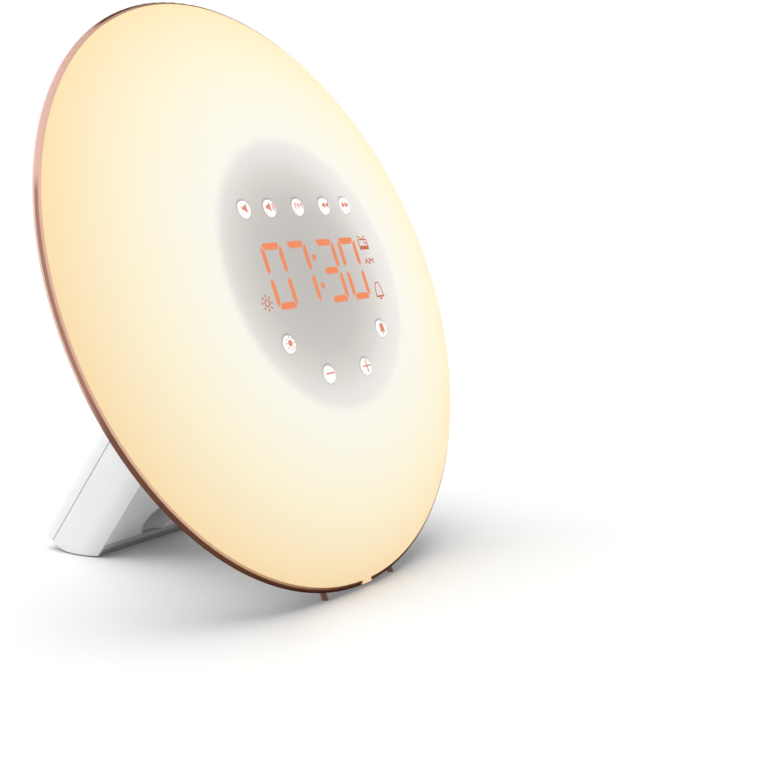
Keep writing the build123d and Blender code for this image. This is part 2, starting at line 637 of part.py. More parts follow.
def button_guide():
    """Plate that keeps the key stems straight, standing on four posts."""
    low = GUIDE_TOP - GUIDE_T
    plate = tube(0, BAFFLE_R - SOFT_GAP, low, GUIDE_TOP)
    window = (MODULE_SIZE[0] + 2 * SOFT_GAP, MODULE_SIZE[1] + 2 * SOFT_GAP, DEEP)
    plate -= Box(*window)
    for x, y in ICON_CENTRES:
        plate -= Pos(x, y, 0) * Box(ICON_SIZE[0] + 2 * SOFT_GAP, ICON_SIZE[1] + 2 * SOFT_GAP, DEEP)
    wall, drop = GUIDE_COLLAR
    for at in KEYS.values():
        plate += tube(0, STEM_D / 2 + wall, low - drop, GUIDE_TOP, at)
        plate -= tube(0, STEM_D / 2 + RUN_CLEAR, low - drop, GUIDE_TOP, at)
    for at in ring_of(GUIDE_POST_R, GUIDE_POST_ANGLES):
        plate += tube(0, GUIDE_POST_D / 2, BOARD_TOP, low, at)
    return plate


def tap_sensor():
    width, y = TAP_SENSOR
    return block((width, width, CHIP_H), (0, y, BOARD_TOP))


def display_driver():
    width, x = DRIVER
    return block((width, width, CHIP_H), (x, 0, BOARD_Z), HIGH)


def key(at):
    """Round cap, retaining flange and the stem that works the switch."""
    radius = hypot(*at)
    top = dome_z(radius) + KEY_PROUD
    flange_top = dome_point(radius + KEY_FLANGE_D / 2, DIFFUSER_WALL)[1] - SOFT_GAP
    stem_end = SWITCH_TOP - SWITCH_BORE + KEY_TRAVEL + RUN_CLEAR
    cap = tube(0, KEY_D / 2, flange_top, top)
    cap = fillet(cap.edges().sort_by(Axis.Z)[-1], KEY_EDGE)
    cap += tube(0, KEY_FLANGE_D / 2, flange_top - KEY_FLANGE_T, flange_top)
    cap += tube(0, STEM_D / 2, stem_end, flange_top)
    return Pos(at[0], at[1], 0) * cap


# ---- speaker ----
def speaker_parts():
    """Basket, magnet and cone of the rear-facing speaker, about its own axis."""
    face = SPEAKER_SEAT_Z
    top = face + SPEAKER_FLANGE_T
    back = face + SPEAKER_DEPTH
    neck = back - MAGNET_H
    mouth = SPEAKER_OPENING_R
    bore = POLE_R + FIT_GAP
    frame = turned_points([(mouth, face), (SPEAKER_R, face), (SPEAKER_R, top),
                           (mouth + SPEAKER_FLANGE_T, top), (MAGNET_R, neck), (bore, neck),
                           (bore, neck - SPEAKER_FLANGE_T),
                           (MAGNET_R - SPEAKER_FLANGE_T, neck - SPEAKER_FLANGE_T),
                           (mouth, top - FIT_GAP)])
    for ear in SPEAKER_EAR_ANGLES:
        x, y = polar(SPEAKER_EAR_R, ear)
        arm = Rot(0, 0, ear) * block((SPEAKER_EAR_R, SPEAKER_EAR_D, SPEAKER_FLANGE_T), (0, 0, face),
                                     (Align.MIN, Align.CENTER, Align.MIN))
        lug = arm + tube(0, SPEAKER_EAR_D / 2, face, top, (x, y))
        frame += lug - tube(0, mouth + SPEAKER_FLANGE_T, face, top)
        frame -= tube(0, SMALL_SCREW[0] / 2 + SHANK_CLEAR, face, top, (x, y))
    magnet = tube(0, MAGNET_R, neck, back) + tube(0, POLE_R, neck - SPEAKER_FLANGE_T, neck)
    edge = mouth - FIT_GAP
    cup = POLE_R - SOFT_GAP
    apex = neck - SPEAKER_FLANGE_T - SOFT_GAP
    cone = turned_points([(edge, face + SOFT_GAP + CONE_T), (edge, face + SOFT_GAP), (cup, apex - CONE_T),
                          (0, apex - 2 * CONE_T), (0, apex - CONE_T), (cup, apex)])
    seat = Pos(0, SPEAKER_Y, 0)
    return seat * frame, seat * magnet, seat * cone


def speaker_screws():
    seat = SPEAKER_SEAT_Z + SPEAKER_FLANGE_T
    one = screw(SMALL_SCREW, SPEAKER_FLANGE_T + SPEAKER_SCREW_L * 0.9)
    return Compound(children=[ear * Pos(0, 0, seat) * one for ear in speaker_ears()])


# ---- leg ----
def leg_section(grow):
    """Bulged sides, rounded corners and a flat front, grown or shrunk by an offset."""
    nose = LEG_FRONT - LEG_FRONT_CUT
    middle = (nose + LEG_REAR) / 2
    right = ThreePointArc((LEG_HALF_W - LEG_BULGE, nose), (LEG_HALF_W, middle),
                          (LEG_HALF_W - LEG_BULGE, LEG_REAR))
    left = mirror(right, Plane.YZ)
    front = Line(right @ 0, left @ 0)
    rear = Line(right @ 1, left @ 1)
    face = make_face(right.edges() + left.edges() + front.edges() + rear.edges())
    face = fillet(face.vertices().group_by(Axis.Y)[0], LEG_FRONT_CORNER)
    face = fillet(face.vertices().group_by(Axis.Y)[-1], LEG_REAR_CORNER)
    face &= Pos(0, LEG_FRONT) * Rectangle(DEEP, DEEP, align=(Align.CENTER, Align.MIN))
    return offset(face, grow) if grow else face


def leg_prism(grow):
    """The leg's section run from its end up through the disc."""
    return Pos(0, 0, -LEG_LENGTH - grow) * extrude(leg_section(grow), LEG_LENGTH + grow)


def behind_disc():
    """Everything behind the leg's seat on the rear shell, in the leg's frame."""
    half = block((DEEP, DEEP, DEEP), (0, 0, LEG_SEAT_Z), HIGH)
    return LEG.location.inverse() * (DISC * half)


def above_table(height):
    half = block((DEEP, DEEP, DEEP), (0, DISC_Y, height))
    return LEG.location.inverse() * half


def leg_side(inset):
    """The leg's side outline run right across it, inset all round, its rear end rounded."""
    depth = LEG_REAR - LEG_FRONT - 2 * inset
    side = block((DEEP, depth, LEG_LENGTH - inset), (0, LEG_FRONT + inset, inset - LEG_LENGTH),
                 (Align.CENTER, Align.MIN, Align.MIN))
    corner = side.edges().filter_by(Axis.X).group_by(Axis.Z)[0].sort_by(Axis.Y)[-1]
    return fillet(corner, LEG_END_CORNER - inset)


def leg_outside(inset, height):
    """The leg's outside down to a height over the table, its heel rounded."""
    side = leg_side(inset) & above_table(height)
    heel = side.edges().filter_by(Axis.X).group_by(Axis.Z)[0].sort_by(Axis.Y)[0]
    return leg_prism(-inset) & fillet(heel, LEG_HEEL_ROUND)


def leg_hollow():
    return leg_prism(-LEG_WALL) & leg_side(LEG_WALL) & above_table(BASE_TOP + LEG_WALL)


def across_leg(x, along, depth_from, depth_to, radius):
    """A round peg through the leg, square to its front face."""
    length = depth_to - depth_from
    peg = Cylinder(radius, length, align=LOW)
    return Pos(*leg_at(x, depth_from, along)) * Rot(-90, 0, 0) * peg


def base_pocket(grow):
    """Space in the leg's front corner that the base plate and the pad fill."""
    size = (2 * (BASE_HALF_W + grow), DEEP, BASE_TOP + grow)
    return LEG.location.inverse() * block(size, (0, DISC_Y, 0))


def leg_shells():
    """Front and rear halves of the leg, hollow, with screw bosses."""
    whole = leg_outside(0, SHELL_LIFT) & behind_disc()
    hollow = leg_hollow()
    bosses = []
    holes = [base_pocket(FIT_GAP / 2)]
    for x, along in LEG_SCREWS_LOW:
        bosses.append(across_leg(x, along, LEG_FRONT, LEG_REAR, BIG_SCREW[1] / 2 + LEG_BOSS_WALL))
        holes.append(across_leg(x, along, LEG_FRONT + 2 * LEG_WALL, LEG_SPLIT, BIG_SCREW[0] / 2))
    for x, along in LEG_SCREWS_LOW + LEG_SCREWS_HIGH:
        holes.append(across_leg(x, along, LEG_SPLIT, LEG_REAR, BIG_SCREW[0] / 2 + SHANK_CLEAR))
        holes.append(across_leg(x, along, LEG_SCREW_SEAT, LEG_REAR + 1, BIG_SCREW[1] / 2 + HEAD_CLEAR))
    for x, along in LEG_SCREWS_HIGH:
        bosses.append(across_leg(x, along, BRACKET_TOP_DEPTH, LEG_REAR, BIG_SCREW[1] / 2 + LEG_BOSS_WALL))
    for x, along in BOARD_POSTS:
        bosses.append(across_leg(x, along, LEG_FRONT, MAIN_BOARD_DEPTH, SMALL_SCREW[0] / 2 + POST_WALL))
        holes.append(across_leg(x, along, LEG_FRONT + 1.4 * LEG_WALL, MAIN_BOARD_DEPTH, SMALL_SCREW[0] / 2))
    bosses.append(across_leg(0, JACK_AT, LEG_FRONT, JACK_FLOOR + JACK_CUP_WALL,
                             JACK_RECESS_R + JACK_CUP_WALL))
    holes.append(across_leg(0, JACK_AT, LEG_FRONT - 1, JACK_FLOOR, JACK_RECESS_R))
    holes.append(across_leg(0, JACK_AT, JACK_FLOOR, JACK_FLOOR + JACK_CUP_WALL,
                            JACK_BARREL_D / 2 + JACK_CUP_WALL))
    for at in base_screw_spots():
        drill = tube(0, SMALL_SCREW[0] / 2, PAD_T, BASE_TOP + BASE_SCREW_L, at)
        holes.append(LEG.location.inverse() * drill)
    shells = whole - hollow
    for boss in bosses:
        shells += boss & whole
    for hole in holes:
        shells -= hole
    split = block((DEEP, DEEP, DEEP), (0, LEG_SPLIT, -DEEP / 2), (Align.CENTER, Align.MIN, Align.MIN))
    groove = leg_prism(1) - leg_prism(-GROOVE_DEPTH)
    groove &= block((DEEP, PARTING_GROOVE, DEEP), (0, LEG_SPLIT, -DEEP / 2),
                    (Align.CENTER, Align.MIN, Align.MIN))
    front = shells - split
    rear = (shells & split) - groove
    return front, rear


def leg_screws():
    """Screws from the leg's rear, two into the front shell and two into the bracket."""
    long_screw = Rot(-90, 0, 0) * screw(BIG_SCREW, LEG_SCREW_SEAT - LEG_SPLIT + BRACKET_SCREW_GRIP)
    short_screw = Rot(-90, 0, 0) * screw(BIG_SCREW, LEG_SCREW_SEAT - LEG_SPLIT + SHANK_CLEAR)
    low = [Pos(*leg_at(x, LEG_SCREW_SEAT, along)) * long_screw for x, along in LEG_SCREWS_LOW]
    high = [Pos(*leg_at(x, LEG_SCREW_SEAT, along)) * short_screw for x, along in LEG_SCREWS_HIGH]
    return Compound(children=low + high)


def leg_bracket():
    """Block in the leg's top that ties the leg to the rear shell."""
    run = leg_prism(-LEG_WALL - FIT_GAP)
    slab = block((DEEP, DEEP, BRACKET_L), (0, 0, LEG_SEAT_Z), HIGH)
    body = run & (LEG.location.inverse() * (DISC * slab))
    body &= block((DEEP, DEEP, DEEP), (0, BRACKET_TOP_DEPTH - FIT_GAP, -DEEP / 2),
                  (Align.CENTER, Align.MAX, Align.MIN))
    low, high = BRACKET_HOLE_DEPTH
    body -= block((CABLE_HOLE[0], high - low, DEEP), (0, low, -DEEP / 2),
                  (Align.CENTER, Align.MIN, Align.MIN))
    for x, along in LEG_SCREWS_HIGH:
        body -= across_leg(x, along, LEG_SPLIT - 2, LEG_REAR, BIG_SCREW[0] / 2)
    to_leg = LEG.location.inverse() * DISC.location
    for at in BRACKET_SCREWS:
        body -= to_leg * tube(0, BIG_SCREW[0] / 2, LEG_SEAT_Z - BRACKET_SCREW_GRIP - 1, LEG_SEAT_Z, at)
    return body


def base_screw_spots():
    return [(side * BASE_SCREW_X, FRONT_EDGE_Y + BASE_SCREW_Y) for side in (-1, 1)]


def base_plate():
    """Grey plastic strip closing the leg's front corner."""
    body = LEG * (leg_outside(0, SHELL_LIFT) & base_pocket(0))
    body &= block((DEEP, DEEP, BASE_TOP - PAD_T), (0, 0, PAD_T))
    for at in base_screw_spots():
        body -= tube(0, SMALL_SCREW[0] / 2 + SHANK_CLEAR, PAD_T, BASE_TOP, at)
        body -= tube(0, SMALL_SCREW[1] / 2 + HEAD_CLEAR, PAD_T, PAD_T + BASE_SCREW_SEAT, at)
    return body


def foot_pad():
    """Rubber strip that stands on the table."""
    body = LEG * (leg_outside(PAD_INSET, 0) & base_pocket(-PAD_INSET))
    body &= block((DEEP, DEEP, PAD_T), (0, 0, 0))
    for at in base_screw_spots():
        body -= tube(0, SMALL_SCREW[1] / 2 + HEAD_CLEAR, PAD_T - SMALL_SCREW[2], PAD_T, at)
    return body


def base_screws():
    up = Rot(180, 0, 0) * screw(SMALL_SCREW, BASE_SCREW_L)
    return Compound(children=[Pos(x, y, PAD_T + BASE_SCREW_SEAT) * up for x, y in base_screw_spots()])


# ---- electronics in the leg ----
def on_board(size, x, along):
    """A component on the rear of the main board: size is across, along, tall."""
    body = Box(size[0], size[2], size[1], align=(Align.CENTER, Align.MIN, Align.CENTER))
    return Pos(*leg_at(x, BOARD_BACK, along)) * body


def main_board():
    board = Box(MAIN_BOARD_W, PCB_T, MAIN_BOARD_L, align=(Align.CENTER, Align.MIN, Align.MAX))
    board = Pos(*leg_at(0, MAIN_BOARD_DEPTH, MAIN_BOARD_FROM)) * board
    for x, along in BOARD_POSTS:
        board -= across_leg(x, along, MAIN_BOARD_DEPTH, BOARD_BACK, SMALL_SCREW[0] / 2 + SHANK_CLEAR)
    return board


def board_screws():
    one = Rot(-90, 0, 0) * screw(SMALL_SCREW, PCB_T + MAIN_BOARD_DEPTH)
    return Compound(children=[Pos(*leg_at(x, BOARD_BACK, along)) * one for x, along in BOARD_POSTS])


def main_processor():
    width, height, place = PROCESSOR
    return on_board((width, width, height), 0, MAIN_BOARD_FROM + place * MAIN_BOARD_L)


def capacitors():
    radius, height, place = CAPACITOR
    along = MAIN_BOARD_FROM + place * MAIN_BOARD_L
    return Compound(children=[across_leg(x, along, BOARD_BACK, BOARD_BACK + height, radius)
                              for x in (-CAPACITOR_X, CAPACITOR_X)])


def power_inductor():
    width, height, place = INDUCTOR
    return on_board((width, width, height), INDUCTOR_X, MAIN_BOARD_FROM + place * MAIN_BOARD_L)


def board_connectors():
    """Plugs for the ribbon, for both pairs of leads and for the power leads."""
    plug = (CONNECTOR_L + 1, CONNECTOR_L, CONNECTOR_H)
    top = on_board((*RIBBON_PLUG, CONNECTOR_H), 0, MAIN_BOARD_FROM + RIBBON_PLUG[1])
    low = on_board((CONNECTOR_L + 3, CONNECTOR_L, CONNECTOR_H), 0, MAIN_BOARD_END - CONNECTOR_L + 1)
    sides = [on_board(plug, x, MAIN_BOARD_FROM + LEAD_PLUG_BELOW) for x in (-LEAD_PLUG_X, LEAD_PLUG_X)]
    return Compound(children=[top, low] + sides)


def dc_jack():
    """Power socket: a body behind the recess, a barrel in its floor and the centre pin."""
    seat = JACK_FLOOR + JACK_CUP_WALL
    width, length = JACK_BODY
    depth = LEG_REAR - LEG_WALL - SOFT_GAP - seat
    body = Box(width, depth, length, align=(Align.CENTER, Align.MIN, Align.CENTER))
    body = Pos(*leg_at(0, seat, JACK_AT)) * body
    body += across_leg(0, JACK_AT, JACK_FLOOR, seat, JACK_BARREL_D / 2 + JACK_CUP_WALL - FIT_GAP)
    body -= across_leg(0, JACK_AT, JACK_FLOOR, seat + depth - 2.0, JACK_BARREL_D / 2)
    return body + across_leg(0, JACK_AT, JACK_FLOOR + 1.0, seat + depth - 1.0, JACK_PIN_D / 2)


def power_leads():
    start = JACK_AT - JACK_BODY[1] / 2
    end = MAIN_BOARD_END + 1 - CONNECTOR_L / 2
    lead = Cylinder(LEAD_D / 2, start - end, align=LOW)
    spread = LEAD_D / 2 + LEAD_GAP * 2
    return Compound(children=[Pos(*leg_at(x, RIBBON_DEPTH, start)) * lead for x in (-spread, spread)])


def display_ribbon():
    """Flat cable from the display board down into the leg."""
    drop = REAR_DEPTH - RIBBON_TURN
    along = (drop - RIBBON_DEPTH * COS_J) / SIN_J
    corner = leg_to_disc(0, RIBBON_DEPTH, along)
    end = leg_to_disc(0, RIBBON_DEPTH, MAIN_BOARD_FROM + RIBBON_PLUG[1] / 2)
    path = FilletPolyline((0, corner[1], BOARD_Z), corner, end, radius=RIBBON_BEND)
    section = Plane(origin=path @ 0, x_dir=(1, 0, 0), z_dir=path % 0) * Rectangle(RIBBON_W, RIBBON_T)
    return sweep(section, path)


def lead_pair(x, points, bend):
    """Two round leads side by side, from the disc into a plug on the main board."""
    corner = leg_to_disc(x, RIBBON_DEPTH, LEAD_TURN_AT)
    end = leg_to_disc(x, RIBBON_DEPTH, MAIN_BOARD_FROM + LEAD_PLUG_BELOW - CONNECTOR_L / 2)
    half = (LEAD_D + LEAD_GAP) / 2
    pair = []
    for side in (-half, half):
        route = FilletPolyline(*[(x + side, y, z) for x, y, z in points + [corner, end]], radius=bend)
        section = Plane(origin=route @ 0, z_dir=route % 0) * Circle(LEAD_D / 2)
        pair.append(sweep(section, route))
    return Compound(children=pair)


def speaker_leads():
    start = SPEAKER_Y - SPEAKER_OPENING_R - SPEAKER_FLANGE_T / 2 - 0.1
    level = SPEAKER_SEAT_Z + LEAD_D / 2
    return lead_pair(LEAD_PLUG_X, [(LEAD_PLUG_X, start, level), (LEAD_PLUG_X, SPEAKER_LEAD_BEND_Y, level)],
                     SPEAKER_LEAD_BEND)


def led_leads():
    """Leads from the light board, under the chassis and down into the leg."""
    y = LED_LEAD_AT[1]
    level = CHASSIS_Z - CHASSIS_T - LED_LEAD_DROP
    route = [(-LEAD_PLUG_X, y, CHASSIS_Z), (-LEAD_PLUG_X, y, level),
             (-LEAD_PLUG_X, LED_LEAD_BEND_Y, level - LED_LEAD_FALL)]
    return lead_pair(-LEAD_PLUG_X, route, LED_LEAD_DROP)


def bracket_screws():
    """Screws from inside the rear shell into the leg's bracket."""
    seat = REAR_WALL - REAR_DEPTH
    return Compound(children=[Pos(x, y, seat) * screw(BIG_SCREW, REAR_WALL + PLINTH_H + BRACKET_SCREW_GRIP)
                              for x, y in BRACKET_SCREWS])


def rear_shell_screws():
    one = Rot(180, 0, 0) * screw(BIG_SCREW, BOSS_WALL + REAR_BOSS_GAP - 0.4)
    return Compound(children=[Pos(*polar(REAR_SCREW_R, a), REAR_SCREW_SEAT) * one
                              for a in REAR_SCREW_ANGLES])


def build():
    os.makedirs("parts", exist_ok=True)
    on_disc = {
        "diffuser": diffuser(), "rim_ring": rim_ring(), "rear_shell": rear_shell(),
        "rear_shell_screws": rear_shell_screws(), "antenna_grommet": antenna_grommet(),
        "chassis": chassis(), "led_board": led_board(), "leds": leds(), "reflector": reflector(),
        "led_board_screws": led_board_screws(), "display_baffle": display_baffle(),
        "display_board": display_board(), "display_screws": display_screws(),
        "display_module": display_module(), "digit_segments": digit_segments(),
        "icon_light_guides": icon_light_guides(), "tact_switches": tact_switches(),
        "button_guide": button_guide(), "tap_sensor": tap_sensor(), "display_driver": display_driver(),
        "speaker_screws": speaker_screws(), "bracket_screws": bracket_screws(),
        "display_ribbon": display_ribbon(), "speaker_leads": speaker_leads(), "led_leads": led_leads(),
    }
    for name, at in KEYS.items():
        on_disc[name] = key(at)
    for name, piece in zip(("speaker_frame", "speaker_magnet", "speaker_cone"), speaker_parts()):
        on_disc[name] = piece
    front, rear = leg_shells()
    on_leg = {
        "leg_front_shell": front, "leg_rear_shell": rear, "leg_screws": leg_screws(),
        "leg_bracket": leg_bracket(), "main_board": main_board(), "board_screws": board_screws(),
        "main_processor": main_processor(), "capacitors": capacitors(),
        "power_inductor": power_inductor(), "board_connectors": board_connectors(),
        "dc_jack": dc_jack(), "power_leads": power_leads(),
    }
    standing = {
        "rim_feet": rim_feet(), "base_plate": base_plate(), "foot_pad": foot_pad(),
        "base_screws": base_screws(),
    }
    for name, piece in on_disc.items():
        write(name, DISC * piece)
    for name, piece in on_leg.items():
        write(name, LEG * piece)
    for name, piece in standing.items():
        write(name, piece)


build()
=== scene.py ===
import bmesh
import bpy
import json
import math
from functools import partial
from mathutils import Matrix, Vector
from mathutils.bvhtree import BVHTree

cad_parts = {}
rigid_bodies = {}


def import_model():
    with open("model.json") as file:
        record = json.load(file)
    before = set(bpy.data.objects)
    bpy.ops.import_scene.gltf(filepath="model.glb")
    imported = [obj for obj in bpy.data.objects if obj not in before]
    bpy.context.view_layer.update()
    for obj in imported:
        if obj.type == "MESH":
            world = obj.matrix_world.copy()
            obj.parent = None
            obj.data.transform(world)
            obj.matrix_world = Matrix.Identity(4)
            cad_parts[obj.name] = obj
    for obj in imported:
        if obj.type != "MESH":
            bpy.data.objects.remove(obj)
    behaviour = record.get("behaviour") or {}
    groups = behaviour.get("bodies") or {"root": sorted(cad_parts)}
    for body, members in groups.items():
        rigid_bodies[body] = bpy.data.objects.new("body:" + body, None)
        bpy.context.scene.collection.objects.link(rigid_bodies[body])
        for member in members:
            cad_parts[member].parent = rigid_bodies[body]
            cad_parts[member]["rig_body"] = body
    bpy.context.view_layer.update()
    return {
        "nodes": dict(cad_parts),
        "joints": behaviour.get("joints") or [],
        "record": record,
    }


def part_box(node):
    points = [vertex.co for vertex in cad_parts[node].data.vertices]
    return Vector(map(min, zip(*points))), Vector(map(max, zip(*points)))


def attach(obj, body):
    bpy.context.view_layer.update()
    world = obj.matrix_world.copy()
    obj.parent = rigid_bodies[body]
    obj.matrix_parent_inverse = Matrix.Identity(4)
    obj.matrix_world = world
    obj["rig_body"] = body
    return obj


# Looks of a sunrise alarm clock: a lit opal disc with a display and nine keys, on a white leg.
# Lengths are metres in the row frame. What is drawn on the disc is drawn in millimetres.
# Disc frame: x to the right, y up the disc, z out of its front, origin at the rim's front centre.

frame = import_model()
nodes = frame["nodes"]

MM = 0.001
BLACK = (0.0, 0.0, 0.0, 1.0)
WHITE = (1.0, 1.0, 1.0, 1.0)

# ---- disc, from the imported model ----
NORMAL = -Vector(frame["joints"][0]["axis"]).normalized()    # every key slides against it
ACROSS = Vector((1.0, 0.0, 0.0))
UPWARD = NORMAL.cross(ACROSS)
DISC_AXES = Matrix((ACROSS, UPWARD, NORMAL))


def ring_place():
    """Outer radius and front centre of the leaning rim ring, from its own vertices."""
    points = [DISC_AXES @ vert.co for vert in nodes["rim_ring"].data.vertices]
    radius = max(point.x for point in points)
    top = max(point.y for point in points)
    front = max(point.z for point in points)
    return radius, DISC_AXES.transposed() @ Vector((0.0, top - radius, front))


RING_R, DISC_CENTRE = ring_place()
DISC = Matrix.Translation(DISC_CENTRE) @ DISC_AXES.transposed().to_4x4()
TO_DISC = DISC.inverted()


def place_on_disc(node):
    """Where the middle of a node's box lies across the disc, in millimetres."""
    low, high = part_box(node)
    middle = TO_DISC @ ((low + high) / 2) / MM
    return middle.x, middle.y


# ---- keys ----
KEY_NODES = [name for name in nodes if name.endswith("_button")]
KEY_R = 2.7                     # of a cap, in millimetres

# ---- display, in the disc frame's millimetres ----
DIGITS = ((-19.7, "abcdef"), (-7.4, "abc"), (7.5, "abcdg"), (20.0, "abcdef"))    # middle, lit bars
DIGIT_HALF_W = 5.0
DIGIT_HALF_H = 10.05
LEVEL_T = 2.05                  # thickness of a level bar
UPRIGHT_T = 1.65
BAR_CUT = 0.4                   # between the slanted ends of two bars
BAR_ROUND = 0.4                 # on every corner of a bar
LEVEL_TIP = 0.95                # level bar's top corner, in from the cut
LEVEL_SHOULDER = (0.2, 0.8)     # its next corner, out from the top corner and below it
MIDDLE_POINT = 0.6              # middle bar's point, out from its corners
UPRIGHT_TIP = (0.3, 0.8)        # upright's top corner, in from its outside and below the digit's top
UPRIGHT_SHOULDER = 2.2          # where its outside starts, below the digit's top
UPRIGHT_POINT = (0.75, 0.7)     # its lower point, in from its outside and above the digit's middle
UPRIGHT_HEELS = (0.6, 0.8)      # its outer and inner corners, above the middle bar's upper edge
COLON_X = 0.3
COLON_HEIGHTS = (4.6, -4.3)
COLON_DOT = 1.9                 # diameter
SUN_AT = (-29.1, -7.5)
RADIO_AT = (29.9, 7.5)
AM_AT = (30.2, 1.9)
BELL_AT = (30.5, -7.9)
AM_SIZE = (5.3, 1.9)            # width and height of the lettering
FM_SIZE = (3.7, 1.75)
STROKE = (4.1, 0.46)            # length and thickness of a plus or minus sign's strokes
MARK_T = 0.10                   # how thick a lit mark is
MARK_SINK = 0.02                # how deep it sits in the dome
PRINT_T = 0.04                  # how thick a key's print is
RAY_START = 0.1                 # metres over the disc, where the search for its surface starts

# ---- camera ----
CAMERA_FROM_DISC = Vector((-0.3636, -0.2631, 0.0421))
CAMERA_HEADING = -58.404        # degrees about Z, 0 looks along +Y
CAMERA_PITCH = -9.011
CAMERA_ROLL = 1.089
LENS_MM = 68.47
SENSOR_MM = 36.0


def srgb(red, green, blue):
    """Scene linear colour of an sRGB colour given from 0 to 255."""
    linear = []
    for level in (red, green, blue):
        value = level / 255
        linear.append(value / 12.92 if value <= 0.04045 else ((value + 0.055) / 1.055) ** 2.4)
    return (*linear, 1.0)


# ---- node helpers ----
def feed(tree, socket, value):
    """Give a socket another socket's value or a plain one."""
    if isinstance(value, bpy.types.NodeSocket):
        tree.links.new(value, socket)
    else:
        socket.default_value = value


def math_node(tree, operation, *values, clamp=False):
    """A math node whose inputs are sockets or plain values."""
    node = tree.nodes.new("ShaderNodeMath")
    node.operation = operation
    node.use_clamp = clamp
    for socket, value in zip(node.inputs, values):
        feed(tree, socket, value)
    return node.outputs[0]


def noise(tree, vector, scale, detail=2.0, roughness=0.5):
    """Cloudy values around a half."""
    node = tree.nodes.new("ShaderNodeTexNoise")
    node.inputs["Detail"].default_value = detail
    node.inputs["Roughness"].default_value = roughness
    feed(tree, node.inputs["Vector"], vector)
    feed(tree, node.inputs["Scale"], scale)
    return node.outputs["Fac"]


def mix_colour(tree, factor, first, second):
    """Colour between two colours, each a socket or a plain colour."""
    node = tree.nodes.new("ShaderNodeMix")
    node.data_type = "RGBA"
    for place, value in ((0, factor), (6, first), (7, second)):    # 6 and 7 are its colours
        feed(tree, node.inputs[place], value)
    return node.outputs[2]


def ease(tree, value, start, end, low=0.0, high=1.0):
    """Low up to start and high from end, easing between them."""
    node = tree.nodes.new("ShaderNodeMapRange")
    node.interpolation_type = "SMOOTHSTEP"
    for socket, given in (("Value", value), ("From Min", start), ("From Max", end),
                          ("To Min", low), ("To Max", high)):
        feed(tree, node.inputs[socket], given)
    return node.outputs["Result"]


def vector_math(tree, operation, *values):
    """A vector math node whose inputs are sockets or plain values."""
    node = tree.nodes.new("ShaderNodeVectorMath")
    node.operation = operation
    for socket, value in zip(node.inputs, values):
        feed(tree, socket, value)
    return node.outputs["Value" if operation == "LENGTH" else "Vector"]


def distance_across(tree, vector, centre):
    """Distance from a point of the disc, across the disc."""
    offset = vector_math(tree, "SUBTRACT", vector, centre)
    return vector_math(tree, "LENGTH", vector_math(tree, "MULTIPLY", offset, (1.0, 1.0, 0.0)))


def ramp(tree, value, span, stops, interpolation="B_SPLINE"):
    """Colours along a value from 0 to span, as (value, colour) stops."""
    share = math_node(tree, "DIVIDE", value, span)
    node = tree.nodes.new("ShaderNodeValToRGB")
    node.color_ramp.interpolation = interpolation
    elements = node.color_ramp.elements
    while len(elements) < len(stops):
        elements.new(1.0)
    for element, (at, colour) in zip(elements, stops):
        element.position = at / span
        element.color = colour
    tree.links.new(share, node.inputs["Fac"])
    return node.outputs["Color"]


# ---- node groups ----
GRAIN = (2500.0, 0.00001)            # scale, and depth in metres
COARSE_GRAIN = {"rubber_pad": (1500.0, 0.00003), "speaker_paper": (900.0, 0.00004)}
OPAL_GRAIN = (1500.0, 0.000004)
COARSE_SCALE = 0.31                  # of the grain's coarse part, against its fine part
FINE_SHARE = 0.7
COARSE_SHARE = 0.3
TONE_SCALE = 30.0                    # of the drift of a moulding's colour
LIT_TONE_SCALE = 400.0
SMEAR_SCALE = 60.0                   # of the marks that hands and cloths leave


def new_group(name, inputs, outputs):
    """An empty shader node group with named sockets, and its input and output nodes."""
    group = bpy.data.node_groups.new(name, "ShaderNodeTree")
    for socket, kind, value in inputs:
        made = group.interface.new_socket(socket, in_out="INPUT", socket_type=kind)
        if value is not None:
            made.default_value = value
    for socket, kind in outputs:
        group.interface.new_socket(socket, in_out="OUTPUT", socket_type=kind)
    return group, group.nodes.new("NodeGroupInput"), group.nodes.new("NodeGroupOutput")


def moulded_grain_group():
    """Fine spark-eroded texture of a moulding: a height."""
    group, start, end = new_group(
        "moulded_grain",
        [("Vector", "NodeSocketVector", None), ("Scale", "NodeSocketFloat", GRAIN[0])],
        [("Height", "NodeSocketFloat")])
    fine = noise(group, start.outputs["Vector"], start.outputs["Scale"], detail=3.0, roughness=0.6)
    coarse_scale = math_node(group, "MULTIPLY", start.outputs["Scale"], COARSE_SCALE)
    coarse = noise(group, start.outputs["Vector"], coarse_scale, detail=1.0)
    height = math_node(group, "ADD", math_node(group, "MULTIPLY", fine, FINE_SHARE),
                       math_node(group, "MULTIPLY", coarse, COARSE_SHARE))
    group.links.new(height, end.inputs["Height"])
    return group


def uneven_tone_group():
    """A colour that drifts a little over the surface."""
    group, start, end = new_group(
        "uneven_tone",
        [("Vector", "NodeSocketVector", None), ("Colour", "NodeSocketColor", (0.8, 0.8, 0.8, 1.0)),
         ("Darker", "NodeSocketColor", (0.7, 0.7, 0.7, 1.0)), ("Scale", "NodeSocketFloat", TONE_SCALE)],
        [("Colour", "NodeSocketColor")])
    drift = noise(group, start.outputs["Vector"], start.outputs["Scale"], detail=4.0, roughness=0.55)
    # Its values from a quarter to three quarters fill the whole way from one colour to the other.
    spread = math_node(group, "MULTIPLY_ADD", drift, 2.0, -0.5, clamp=True)
    colour = mix_colour(group, spread, start.outputs["Darker"], start.outputs["Colour"])
    group.links.new(colour, end.inputs["Colour"])
    return group


